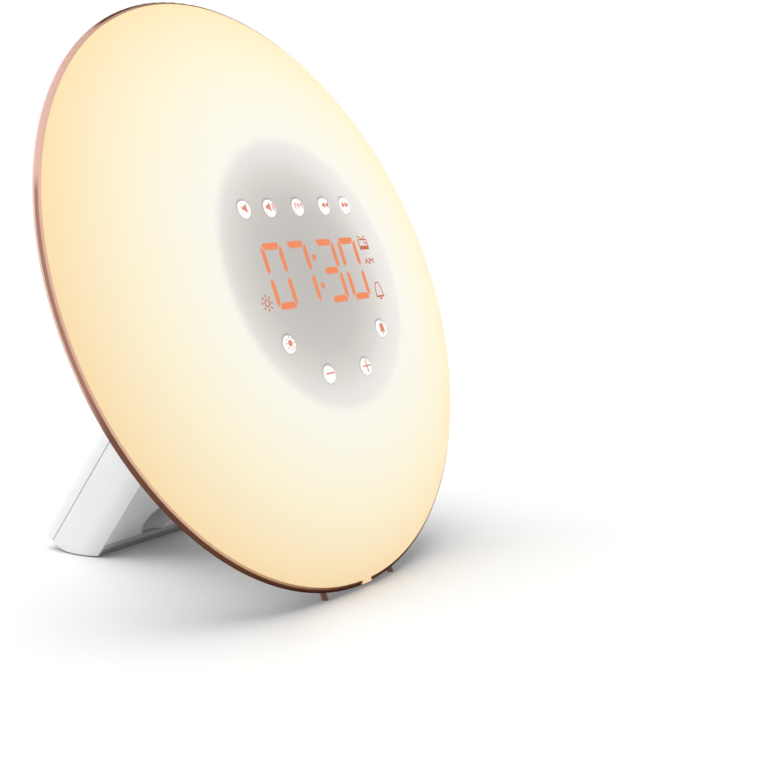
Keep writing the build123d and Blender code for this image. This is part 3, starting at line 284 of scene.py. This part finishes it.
def handling_group():
    """Roughness that rises and falls where hands and cloths have been."""
    group, start, end = new_group(
        "handling",
        [("Vector", "NodeSocketVector", None), ("Smooth", "NodeSocketFloat", 0.3),
         ("Dull", "NodeSocketFloat", 0.4), ("Scale", "NodeSocketFloat", SMEAR_SCALE)],
        [("Roughness", "NodeSocketFloat")])
    smear = noise(group, start.outputs["Vector"], start.outputs["Scale"], detail=5.0, roughness=0.65)
    span = math_node(group, "SUBTRACT", start.outputs["Dull"], start.outputs["Smooth"])
    rough = math_node(group, "MULTIPLY_ADD", smear, span, start.outputs["Smooth"])
    group.links.new(rough, end.inputs["Roughness"])
    return group


def round_shade_group():
    """Soft dark ring around a key, where the light under the dome is blocked."""
    group, start, end = new_group(
        "round_shade",
        [("Vector", "NodeSocketVector", None), ("Centre", "NodeSocketVector", None),
         ("Inner", "NodeSocketFloat", 3.0), ("Outer", "NodeSocketFloat", 4.0)],
        [("Shade", "NodeSocketFloat")])
    away = distance_across(group, start.outputs["Vector"], start.outputs["Centre"])
    shade = ease(group, away, start.outputs["Inner"], start.outputs["Outer"], low=1.0, high=0.0)
    group.links.new(shade, end.inputs["Shade"])
    return group


GROUPS = {
    "grain": moulded_grain_group(), "tone": uneven_tone_group(), "handling": handling_group(),
    "round_shade": round_shade_group(),
}


def place_group(tree, name, vector, **values):
    """A group node fed with a vector, with its named inputs set to sockets or plain values."""
    node = tree.nodes.new("ShaderNodeGroup")
    node.node_tree = GROUPS[name]
    tree.links.new(vector, node.inputs["Vector"])
    for socket, value in values.items():
        feed(tree, node.inputs[socket], value)
    return node.outputs[0]


# ---- materials ----
def new_material(name):
    """A material, its node tree, its shader and the object coordinates."""
    material = bpy.data.materials.new(name)
    material.use_nodes = True
    tree = material.node_tree
    place = tree.nodes.new("ShaderNodeTexCoord").outputs["Object"]
    return material, tree, tree.nodes["Principled BSDF"], place


def bump(tree, shader, height, depth):
    """Relief of a given depth in metres."""
    node = tree.nodes.new("ShaderNodeBump")
    node.inputs["Strength"].default_value = 1.0
    node.inputs["Distance"].default_value = depth
    tree.links.new(height, node.inputs["Height"])
    tree.links.new(node.outputs["Normal"], shader.inputs["Normal"])


def roughen(tree, shader, place, smooth, dull):
    """Handled roughness between two values."""
    rough = place_group(tree, "handling", place, Smooth=smooth, Dull=dull)
    tree.links.new(rough, shader.inputs["Roughness"])


def moulded(name, colour, darker, smooth, dull, metallic=0.0):
    """A moulded or plated surface: drifting tone, handled roughness and fine grain."""
    material, tree, shader, place = new_material(name)
    shader.inputs["Metallic"].default_value = metallic
    tone = place_group(tree, "tone", place, Colour=colour, Darker=darker, Scale=TONE_SCALE)
    tree.links.new(tone, shader.inputs["Base Color"])
    roughen(tree, shader, place, smooth, dull)
    scale, depth = COARSE_GRAIN.get(name, GRAIN)
    bump(tree, shader, place_group(tree, "grain", place, Scale=scale), depth)
    return material


def disc_coordinates(tree, place):
    """Object coordinates turned into the disc frame, in millimetres."""
    mapping = tree.nodes.new("ShaderNodeMapping")
    mapping.vector_type = "TEXTURE"
    mapping.inputs["Location"].default_value = DISC_CENTRE
    mapping.inputs["Rotation"].default_value = DISC.to_euler()
    mapping.inputs["Scale"].default_value = (MM, MM, MM)
    tree.links.new(place, mapping.inputs["Vector"])
    return mapping.outputs["Vector"]


# The dome's colours, by millimetres from its axis and from the middle of the grey patch: the lamp's glow,
# warm at the rim, and painted shade in the grey patch over the display, where the display keeps the inner
# light off the dome.
OPAL_GLOW = ((44.0, srgb(252, 250, 240)), (58.0, srgb(253, 249, 228)), (72.0, srgb(254, 245, 213)),
             (83.0, srgb(254, 235, 197)), (90.0, srgb(253, 229, 184)), (93.0, srgb(252, 222, 172)))
DISPLAY_SHADE = ((8.0, srgb(193, 189, 184)), (24.0, srgb(203, 199, 194)), (33.0, srgb(222, 219, 213)),
                (38.0, srgb(234, 231, 226)), (45.0, srgb(243, 240, 234)))
GREY_CENTRE = (-5.0, 0.0, 0.0)
GREY_SPAN = 50.0
GREY_EDGE = (40.5, 45.0)             # where the grey gives way to the glow, from the dome's axis
KEY_SHADE = srgb(150, 146, 142)
KEY_SHADE_W = 0.9
KEY_SHADE_SHARE = 0.55
OPAL_BASE_SHARE = 0.2                # of the dome's colour that waits for outside light
OPAL_GLOW_SHARE = 0.8                # and that shines by itself
OPAL_SPECULAR = 0.2
LIT_BASE_SHARE = 0.4
LIT_SPECULAR = 0.1


def opal_material():
    """Opal dome, lit from inside: warm at its rim, with painted shade grey over the display and in a ring
    around each key.
    """
    material, tree, shader, place = new_material("opal_dome")
    at_disc = disc_coordinates(tree, place)
    from_axis = distance_across(tree, at_disc, (0.0, 0.0, 0.0))
    glow = ramp(tree, from_axis, RING_R / MM, OPAL_GLOW)
    # Painted shade over the display, darkest a little left of the dome's middle.
    grey = ramp(tree, distance_across(tree, at_disc, GREY_CENTRE), GREY_SPAN, DISPLAY_SHADE)
    colour = mix_colour(tree, ease(tree, from_axis, *GREY_EDGE), grey, glow)
    # Painted shade: a grey ring around each key.
    for name in KEY_NODES:
        shade = place_group(tree, "round_shade", at_disc, Centre=(*place_on_disc(name), 0.0),
                            Inner=KEY_R, Outer=KEY_R + KEY_SHADE_W)
        colour = mix_colour(tree, math_node(tree, "MULTIPLY", shade, KEY_SHADE_SHARE), colour, KEY_SHADE)
    # The glow's colours and the painted shade go into the base colour as well as the emission.
    tone = mix_colour(tree, OPAL_BASE_SHARE, BLACK, colour)
    tree.links.new(tone, shader.inputs["Base Color"])
    tree.links.new(colour, shader.inputs["Emission Color"])
    shader.inputs["Emission Strength"].default_value = OPAL_GLOW_SHARE
    shader.inputs["Specular IOR Level"].default_value = OPAL_SPECULAR
    roughen(tree, shader, place, smooth=0.5, dull=0.58)
    scale, depth = OPAL_GRAIN
    bump(tree, shader, place_group(tree, "grain", place, Scale=scale), depth)
    return material


def lit_material(name, colour, deeper, strength):
    """A finish that glows by itself: a lit light guide, a lit print, and the painted light on the key caps
    and their prints.
    """
    material, tree, shader, place = new_material(name)
    tone = place_group(tree, "tone", place, Colour=colour, Darker=deeper, Scale=LIT_TONE_SCALE)
    unlit = mix_colour(tree, LIT_BASE_SHARE, BLACK, tone)
    tree.links.new(unlit, shader.inputs["Base Color"])
    tree.links.new(tone, shader.inputs["Emission Color"])
    shader.inputs["Emission Strength"].default_value = strength
    shader.inputs["Specular IOR Level"].default_value = LIT_SPECULAR
    roughen(tree, shader, place, smooth=0.5, dull=0.6)
    return material


# Painted reflections around the rim, by degrees from the disc's right-hand side through its crown: a
# painted highlight at its upper left, and mirrored shade painted dark at its crown and from its lower left
# to its foot.
COPPER_MIDDLE_REFLECTION = ((0.0, srgb(168, 124, 106)), (92.0, srgb(108, 78, 63)), (116.0, srgb(112, 82, 66)),
                 (120.0, srgb(236, 190, 176)), (156.0, srgb(235, 188, 173)), (159.0, srgb(180, 132, 114)),
                 (192.0, srgb(174, 124, 106)), (201.0, srgb(126, 84, 67)), (216.0, srgb(106, 71, 55)),
                 (286.0, srgb(100, 66, 51)), (310.0, srgb(150, 110, 94)), (360.0, srgb(168, 124, 106)))
COPPER_INNER_REFLECTION = ((0.0, srgb(190, 150, 130)), (92.0, srgb(180, 150, 130)), (117.0, srgb(214, 180, 162)),
                (156.0, srgb(232, 190, 174)), (195.0, srgb(226, 184, 164)), (213.0, srgb(228, 186, 158)),
                (240.0, srgb(216, 172, 138)), (262.0, srgb(140, 98, 74)), (286.0, srgb(110, 76, 60)),
                (360.0, srgb(190, 150, 130)))
COPPER_OUTER_REFLECTION = ((0.0, srgb(168, 124, 106)), (92.0, srgb(126, 98, 82)), (116.0, srgb(160, 128, 112)),
                (120.0, srgb(240, 204, 192)), (156.0, srgb(240, 208, 196)), (190.0, srgb(232, 200, 188)),
                (201.0, srgb(126, 84, 67)), (216.0, srgb(106, 71, 55)), (286.0, srgb(100, 66, 51)),
                (360.0, srgb(168, 124, 106)))
COPPER_STEPS = ((-0.55, -0.3), (-1.25, -1.4))      # millimetres behind the rim's front, where one band of painted reflection gives way to the next
COPPER_METALLIC = 0.8
COPPER_SPECULAR = 0.2
COPPER_TINT = srgb(150, 112, 98)
COPPER_ROUGH = 0.3
STREAK_ROUGH = 0.12                  # what a streak adds to the roughness
STREAK_TONE = 0.85                   # a streak's brightness
STREAK_AROUND = 1.5                  # streaks by radian around the rim
STREAK_ACROSS = 9.0                  # and by millimetre across it
STREAK_DEPTH = 0.00001


def copper_material():
    """Rose copper band with painted reflections: a painted highlight at its upper left, darker towards its
    foot and crown, with fine streaks around the rim.
    """
    material, tree, shader, place = new_material("rose_copper")
    at_disc = disc_coordinates(tree, place)
    radius = distance_across(tree, at_disc, (0.0, 0.0, 0.0))
    split = tree.nodes.new("ShaderNodeSeparateXYZ")
    tree.links.new(at_disc, split.inputs[0])
    depth = split.outputs["Z"]
    angle = math_node(tree, "ARCTAN2", split.outputs["Y"], split.outputs["X"])
    around = tree.nodes.new("ShaderNodeCombineXYZ")
    for socket, value, rate in (("X", angle, STREAK_AROUND), ("Y", radius, STREAK_ACROSS),
                                ("Z", depth, STREAK_ACROSS)):
        tree.links.new(math_node(tree, "MULTIPLY", value, rate), around.inputs[socket])
    streak = noise(tree, around.outputs["Vector"], 1.0, detail=3.0, roughness=0.6)
    turns = math_node(tree, "ADD", math_node(tree, "DIVIDE", angle, math.tau), 1.0)
    degrees = math_node(tree, "MULTIPLY", math_node(tree, "FRACT", turns), 360.0)
    # Painted reflections by angle for the middle, inner and outer bands of the rim.
    middle, inner, outer = [ramp(tree, degrees, 360.0, stops, "LINEAR")
                            for stops in (COPPER_MIDDLE_REFLECTION, COPPER_INNER_REFLECTION, COPPER_OUTER_REFLECTION)]
    tone = mix_colour(tree, ease(tree, depth, *COPPER_STEPS[0]), middle, inner)
    tone = mix_colour(tree, ease(tree, depth, *COPPER_STEPS[1]), tone, outer)
    tone = mix_colour(tree, streak, mix_colour(tree, STREAK_TONE, BLACK, tone), tone)
    tree.links.new(tone, shader.inputs["Base Color"])
    shader.inputs["Metallic"].default_value = COPPER_METALLIC
    shader.inputs["Specular IOR Level"].default_value = COPPER_SPECULAR
    shader.inputs["Specular Tint"].default_value = COPPER_TINT
    rough = math_node(tree, "MULTIPLY_ADD", streak, STREAK_ROUGH, COPPER_ROUGH)
    tree.links.new(rough, shader.inputs["Roughness"])
    bump(tree, shader, streak, STREAK_DEPTH)
    return material


TRACK_SCALE = 260.0
TRACK_WIDTH = 0.03
TRACK_DEPTH = 0.00003


def board_material(name, mask, track):
    """Circuit board: solder mask with the tracks showing through."""
    material, tree, shader, place = new_material(name)
    brick = tree.nodes.new("ShaderNodeTexBrick")
    brick.inputs["Scale"].default_value = TRACK_SCALE
    brick.inputs["Mortar Size"].default_value = TRACK_WIDTH
    brick.inputs["Color1"].default_value = mask
    brick.inputs["Color2"].default_value = mask
    brick.inputs["Mortar"].default_value = track
    tree.links.new(place, brick.inputs["Vector"])
    tree.links.new(brick.outputs["Color"], shader.inputs["Base Color"])
    roughen(tree, shader, place, smooth=0.3, dull=0.45)
    bump(tree, shader, brick.outputs["Fac"], TRACK_DEPTH)
    return material


# Moulded finishes: colour, darker tone, roughness where smooth and where dull.
MOULDINGS = {
    "white_shell": ((231, 231, 231), (225, 225, 226), 0.34, 0.46),
    "grey_plastic": ((196, 196, 198), (186, 186, 188), 0.5, 0.62),
    "rubber_pad": ((168, 168, 170), (154, 154, 156), 0.75, 0.9),
    "foot_brown": ((142, 96, 78), (122, 80, 64), 0.4, 0.55),
    "grommet_rubber": ((70, 70, 72), (56, 56, 58), 0.7, 0.85),
    "frame_plastic": ((222, 222, 220), (212, 212, 210), 0.5, 0.6),
    "reflector_white": ((248, 248, 246), (242, 242, 240), 0.6, 0.7),
    "black_plastic": ((48, 48, 50), (38, 38, 40), 0.5, 0.62),
    "speaker_paper": ((58, 58, 60), (44, 44, 46), 0.85, 0.95),
    "capacitor_sleeve": ((52, 60, 110), (44, 50, 96), 0.3, 0.4),
    "inductor_black": ((66, 66, 68), (52, 52, 54), 0.7, 0.85),
    "connector_cream": ((236, 230, 208), (228, 220, 196), 0.45, 0.55),
    "lead_red": ((190, 40, 38), (168, 32, 30), 0.45, 0.6),
    "ribbon_grey": ((214, 214, 218), (200, 200, 205), 0.4, 0.5),
    "lead_black": ((52, 52, 54), (42, 42, 44), 0.45, 0.6),
}
# Plated and bare metals, given in the same way.
METALS = {
    "steel_screw": ((196, 197, 200), (170, 171, 176), 0.25, 0.4),
    "speaker_steel": ((120, 121, 124), (100, 101, 104), 0.35, 0.5),
}
# Lit finishes: colour, deeper tone, strength. The glow of the key caps and of the key prints is painted
# light; they are no lamp.
LIT_FINISHES = {
    # Painted light: the key caps glow by themselves to render near white.
    "key_white": ((253, 252, 250), (250, 249, 246), 0.7),
    "led_lens": ((255, 226, 150), (250, 208, 120), 0.8),
    "lit_orange": ((252, 150, 104), (249, 142, 97), 0.6),
    # Painted light: the key prints glow by themselves.
    "key_print": ((240, 156, 136), (234, 144, 122), 0.55),
    "lit_pictogram": ((216, 118, 84), (210, 112, 80), 0.6),
}
# Circuit boards: solder mask, tracks.
BOARDS = {
    "board_white": ((240, 240, 236), (226, 226, 222)),
    "board_green": ((34, 104, 66), (52, 132, 84)),
}


def make_finishes():
    """Every finish by name: the record's slots, the key print and the lit pictograms."""
    made = {"opal": opal_material(), "copper_trim": copper_material()}
    for table, metallic in ((MOULDINGS, 0.0), (METALS, 1.0)):
        for name, (colour, darker, smooth, dull) in table.items():
            made[name] = moulded(name, srgb(*colour), srgb(*darker), smooth, dull, metallic)
    for name, (colour, deeper, strength) in LIT_FINISHES.items():
        made[name] = lit_material(name, srgb(*colour), srgb(*deeper), strength)
    for name, (mask, track) in BOARDS.items():
        made[name] = board_material(name, srgb(*mask), srgb(*track))
    return made


FINISHES = make_finishes()
for part in frame["record"]["subparts"]:
    mesh = nodes[part["node"]].data
    mesh.materials.clear()
    mesh.materials.append(FINISHES[part["material_slot"]])


# ---- flat shapes, in millimetres across the disc ----
def round_corners(bm, verts, radius):
    """Round a flat shape's corners."""
    bmesh.ops.bevel(bm, geom=verts, offset=radius, affect="VERTICES", segments=4, profile=0.5, material=-1)


def bar(bm, at, size, radius, turn=0.0):
    """A flat bar with rounded corners, turned by degrees."""
    place = Matrix.Translation((*at, 0.0)) @ Matrix.Rotation(math.radians(turn), 4, "Z")
    scale = Matrix.Diagonal((*size, 1.0, 1.0))
    made = bmesh.ops.create_grid(bm, x_segments=1, y_segments=1, size=0.5, matrix=place @ scale)
    round_corners(bm, made["verts"], radius)


def dot(bm, radius, at=(0.0, 0.0)):
    """A flat disc."""
    bmesh.ops.create_circle(bm, cap_ends=True, segments=28, radius=radius,
                            matrix=Matrix.Translation((*at, 0.0)))


def plate(bm, corners, radius):
    """A flat shape through a few corners, rounded."""
    verts = [bm.verts.new((x, y, 0.0)) for x, y in corners]
    bm.faces.new(verts)
    round_corners(bm, verts, radius)


def both_sides(right):
    """Corners of a shape that is the same on both sides, from those of its right half."""
    left = [(-x, y) for x, y in right]
    return [left[0], *right, *reversed(left[1:])]


def outline(bm, line, draw, **shape):
    """What draw makes, hollowed to a line of even width."""
    before = set(bm.faces)
    draw(bm, **shape)
    made = [face for face in bm.faces if face not in before]
    rim = bmesh.ops.inset_region(bm, faces=made, thickness=line, use_even_offset=True, use_boundary=True)
    bmesh.ops.delete(bm, geom=list(set(made) - set(rim["faces"])), context="FACES_ONLY")


def rays(bm, count, near, far, width):
    """Short bars around the middle, from one distance to another."""
    for k in range(count):
        turn = 360.0 * k / count
        reach = Matrix.Rotation(math.radians(turn), 2) @ Vector(((near + far) / 2, 0.0))
        bar(bm, at=reach, size=(far - near, width), radius=width * 0.3, turn=turn)


def lettering(bm, word, size):
    """Plain capitals of a given width and height, centred."""
    curve = bpy.data.curves.new(word, "FONT")
    curve.body = word
    text = bpy.data.objects.new(word, curve)
    bpy.context.scene.collection.objects.link(text)
    bpy.context.view_layer.update()
    mesh = bpy.data.meshes.new_from_object(text)
    bm.from_mesh(mesh)
    bpy.data.objects.remove(text)
    bpy.data.curves.remove(curve)
    bpy.data.meshes.remove(mesh)
    xs = [vert.co.x for vert in bm.verts]
    ys = [vert.co.y for vert in bm.verts]
    centre = Vector(((max(xs) + min(xs)) / 2, (max(ys) + min(ys)) / 2, 0.0))
    bmesh.ops.translate(bm, vec=-centre, verts=bm.verts)
    scale = (size[0] / (max(xs) - min(xs)), size[1] / (max(ys) - min(ys)), 1.0)
    bmesh.ops.scale(bm, vec=scale, verts=bm.verts)


# ---- what the display shows ----
def bar_shapes():
    """A level, a middle and an upright bar of a digit, as seen at its top right."""
    x, y, half = DIGIT_HALF_W, DIGIT_HALF_H, LEVEL_T / 2
    inner = x - UPRIGHT_T - BAR_CUT
    tip = x - BAR_CUT - LEVEL_TIP
    out, down = LEVEL_SHOULDER
    level = both_sides([(tip, y), (tip + out, y - down), (inner, y - LEVEL_T)])
    middle = both_sides([(inner, half), (inner + MIDDLE_POINT, 0.0), (inner, -half)])
    outer_heel, inner_heel = UPRIGHT_HEELS
    upright = [(x - UPRIGHT_TIP[0], y - UPRIGHT_TIP[1]), (x, y - UPRIGHT_SHOULDER), (x, half + outer_heel),
               (x - UPRIGHT_POINT[0], UPRIGHT_POINT[1]), (x - UPRIGHT_T, half + inner_heel),
               (x - UPRIGHT_T, y - LEVEL_T - BAR_CUT)]
    return level, middle, upright


def draw_digit(bm, lit):
    """The lit bars of one digit, in the usual seven places from a to g."""
    level, middle, upright = bar_shapes()
    places = {"a": (level, 1, 1), "d": (level, 1, -1), "g": (middle, 1, 1), "b": (upright, 1, 1),
              "c": (upright, 1, -1), "e": (upright, -1, -1), "f": (upright, -1, 1)}
    for name in lit:
        shape, side, end = places[name]
        plate(bm, [(x * side, y * end) for x, y in shape], BAR_ROUND)


def draw_colon(bm):
    """The two dots between hours and minutes."""
    for height in COLON_HEIGHTS:
        dot(bm, COLON_DOT / 2, (0.0, height))


def draw_sun_icon(bm):
    """A sun's outline and its rays."""
    outline(bm, 0.32, dot, radius=1.15)
    rays(bm, count=8, near=1.65, far=2.6, width=0.36)


def draw_bell_icon(bm):
    """A bell's outline, with its lip and clapper."""
    body = both_sides([(2.35, -2.05), (1.95, 0.9), (0.9, 2.75)])
    outline(bm, 0.36, plate, corners=body, radius=0.5)
    bar(bm, at=(0.0, -2.05), size=(4.9, 0.4), radius=0.15)
    bar(bm, at=(0.0, -2.7), size=(1.4, 0.55), radius=0.25)


def draw_radio_icon(bm):
    """A small radio: its case, lower panel, dial and pair of aerials."""
    outline(bm, 0.34, bar, at=(0.0, 0.0), size=(5.4, 3.5), radius=0.3)
    bar(bm, at=(0.0, -1.1), size=(5.3, 1.2), radius=0.1)
    bar(bm, at=(0.9, 0.55), size=(0.3, 1.5), radius=0.05)
    bar(bm, at=(1.8, 0.45), size=(0.9, 0.3), radius=0.05)
    bar(bm, at=(-1.1, 2.25), size=(3.2, 0.32), radius=0.1, turn=-22.0)
    bar(bm, at=(1.45, 2.35), size=(1.8, 0.32), radius=0.1, turn=42.0)


# ---- what is printed on the keys ----
def draw_sun(bm):
    """A filled sun and its rays."""
    dot(bm, 0.95)
    rays(bm, count=8, near=1.55, far=2.1, width=0.34)


def draw_bell(bm):
    """A filled bell with its lip and clapper."""
    plate(bm, both_sides([(1.15, -1.15), (0.85, 1.55)]), 0.7)
    bar(bm, at=(0.0, -1.15), size=(2.9, 0.36), radius=0.12)
    dot(bm, 0.3, (0.0, -1.8))


def draw_speaker(bm, x=0.0):
    """A loudspeaker from its side."""
    back, neck, mouth = x - 1.5, x - 0.7, x + 0.75
    plate(bm, [(back, -0.5), (neck, -0.5), (mouth, -1.4), (mouth, 1.4), (neck, 0.5), (back, 0.5)], 0.1)


def draw_loud_speaker(bm):
    """A loudspeaker with two sound waves in front of it."""
    draw_speaker(bm, -0.75)
    for reach, half in ((0.65, 0.75), (1.35, 1.25)):
        outer, end = reach + 0.32, half + 0.1
        plate(bm, [(reach, -half), (outer, -end), (reach + 0.75, 0.0), (outer, end), (reach, half),
                   (reach + 0.38, 0.0)], 0.06)


def draw_triangles(bm, direction):
    """Two arrowheads that point along x in a direction of 1 or -1."""
    half = 0.95
    for x in (-1.0, 0.9):
        back, point = (x - half) * direction, (x + half) * direction
        plate(bm, [(back, half), (back, -half), (point, 0.0)], 0.1)


def draw_minus(bm):
    """A level stroke."""
    bar(bm, at=(0.0, 0.0), size=STROKE, radius=0.15)


def draw_plus(bm):
    """A level stroke and an upright one."""
    draw_minus(bm)
    bar(bm, at=(0.0, 0.0), size=STROKE[::-1], radius=0.15)


KEY_MARKS = {
    "volume_down_button": draw_speaker,
    "volume_up_button": draw_loud_speaker,
    "radio_button": partial(lettering, word="FM", size=FM_SIZE),
    "rewind_button": partial(draw_triangles, direction=-1),
    "forward_button": partial(draw_triangles, direction=1),
    "light_button": draw_sun,
    "alarm_button": draw_bell,
    "minus_button": draw_minus,
    "plus_button": draw_plus,
}


# ---- marks on the dome and on the keys ----
def surface_of(node):
    """A node's surface, for finding heights over the disc."""
    bm = bmesh.new()
    bm.from_mesh(nodes[node].data)
    tree = BVHTree.FromBMesh(bm)
    bm.free()
    return tree


def lay_on(bm, surface, thickness, sink):
    """Thicken flat marks drawn on the disc and settle them on a surface."""
    bmesh.ops.scale(bm, vec=(MM, MM, MM), verts=bm.verts)
    bmesh.ops.recalc_face_normals(bm, faces=bm.faces)
    for face in bm.faces:
        if face.normal.z < 0:
            face.normal_flip()
    flat = list(bm.faces)
    made = bmesh.ops.extrude_face_region(bm, geom=flat)
    raised = {vert for vert in made["geom"] if isinstance(vert, bmesh.types.BMVert)}
    bmesh.ops.reverse_faces(bm, faces=flat)
    for vert in bm.verts:
        origin = DISC @ Vector((vert.co.x, vert.co.y, RAY_START))
        height = RAY_START - surface.ray_cast(origin, -NORMAL)[3]
        vert.co.z = height - sink * MM + (thickness * MM if vert in raised else 0.0)
    bmesh.ops.transform(bm, matrix=DISC, verts=bm.verts)


def add_mark(name, draw, at, surface, thickness, sink, finish, body):
    """A thin mark drawn around a point of the disc, laid on a surface, that rides on a body."""
    bm = bmesh.new()
    draw(bm)
    bmesh.ops.translate(bm, vec=(*at, 0.0), verts=bm.verts)
    lay_on(bm, surface, thickness, sink)
    mesh = bpy.data.meshes.new(name)
    bm.to_mesh(mesh)
    bm.free()
    mesh.materials.append(FINISHES[finish])
    piece = bpy.data.objects.new(name, mesh)
    bpy.context.scene.collection.objects.link(piece)
    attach(piece, body)


def add_display():
    """Lit digits, colon and pictograms that show through the dome."""
    dome = surface_of("diffuser")
    marks = [(f"lit_digit_{place}", partial(draw_digit, lit=lit), (x, 0.0), "lit_orange")
             for place, (x, lit) in enumerate(DIGITS, 1)]
    marks += [
        ("lit_colon", draw_colon, (COLON_X, 0.0), "lit_orange"),
        ("lit_sun", draw_sun_icon, SUN_AT, "lit_pictogram"),
        ("lit_radio", draw_radio_icon, RADIO_AT, "lit_pictogram"),
        ("lit_am", partial(lettering, word="AM", size=AM_SIZE), AM_AT, "lit_pictogram"),
        ("lit_bell", draw_bell_icon, BELL_AT, "lit_pictogram"),
    ]
    for name, draw, at, finish in marks:
        add_mark(name, draw, at, dome, MARK_T, MARK_SINK, finish, "lamp")


def add_key_marks():
    """A pictogram on each key's cap, moving with the key."""
    for node, draw in KEY_MARKS.items():
        add_mark(node.replace("button", "mark"), draw, place_on_disc(node), surface_of(node),
                 PRINT_T, 0.0, "key_print", nodes[node]["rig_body"])


add_display()
add_key_marks()


# ---- stage ----
FLOOR_R = 6.0
FLOOR_TONE_SCALE = 6.0
FLOOR_ROUGHNESS = 0.9
WORLD_LEVEL = 0.34
# Softboxes: name, direction in which it stands, how wide it looks in degrees, strength.
SOFTBOXES = (("top_softbox", (-0.14, 0.13, 1.0), 64.0, 3.0),
             ("side_softbox", (-1.0, 0.9, 0.3), 30.0, 0.9))


def floor_material():
    """Pale floor that keeps the soft shadow of the lamp."""
    material, tree, shader, place = new_material("studio_floor")
    shader.inputs["Roughness"].default_value = FLOOR_ROUGHNESS
    tone = place_group(tree, "tone", place, Colour=srgb(229, 229, 229), Darker=srgb(227, 227, 227),
                       Scale=FLOOR_TONE_SCALE)
    tree.links.new(tone, shader.inputs["Base Color"])
    return material


def add_floor():
    """A large round floor."""
    bm = bmesh.new()
    bmesh.ops.create_circle(bm, cap_ends=True, segments=64, radius=FLOOR_R)
    mesh = bpy.data.meshes.new("floor")
    bm.to_mesh(mesh)
    bm.free()
    mesh.materials.append(floor_material())
    floor = bpy.data.objects.new("floor", mesh)
    bpy.context.scene.collection.objects.link(floor)


def add_softbox(name, direction, angle, strength):
    """A large, distant softbox that shines from a direction."""
    light = bpy.data.lights.new(name, "SUN")
    light.angle = math.radians(angle)
    light.energy = strength
    softbox = bpy.data.objects.new(name, light)
    softbox.rotation_euler = (-Vector(direction)).to_track_quat("-Z", "Y").to_euler()
    softbox.visible_glossy = False
    bpy.context.scene.collection.objects.link(softbox)


def add_world(level):
    """Even studio light, with plain white behind the object."""
    world = bpy.data.worlds.new("studio")
    world.use_nodes = True
    tree = world.node_tree
    back = tree.nodes["Background"]
    back.inputs["Color"].default_value = WHITE
    path = tree.nodes.new("ShaderNodeLightPath")
    seen = math_node(tree, "MAXIMUM", path.outputs["Is Camera Ray"], path.outputs["Is Glossy Ray"])
    strength = math_node(tree, "MULTIPLY_ADD", seen, 1.0 - level, level)
    tree.links.new(strength, back.inputs["Strength"])
    bpy.context.scene.world = world


def add_camera():
    """Camera in front of the disc's left-hand side, looking slightly down."""
    camera = bpy.data.objects.new("camera", bpy.data.cameras.new("camera"))
    camera.data.lens = LENS_MM
    camera.data.sensor_width = SENSOR_MM
    turn = Matrix.Rotation(math.radians(CAMERA_HEADING), 4, "Z")
    tilt = Matrix.Rotation(math.radians(90.0 + CAMERA_PITCH), 4, "X")
    roll = Matrix.Rotation(math.radians(CAMERA_ROLL), 4, "Z")
    camera.matrix_world = Matrix.Translation(DISC_CENTRE + CAMERA_FROM_DISC) @ turn @ tilt @ roll
    bpy.context.scene.collection.objects.link(camera)
    bpy.context.scene.camera = camera


add_floor()
add_world(WORLD_LEVEL)
for softbox_values in SOFTBOXES:
    add_softbox(*softbox_values)
add_camera()

bpy.context.scene.view_settings.view_transform = "Standard"
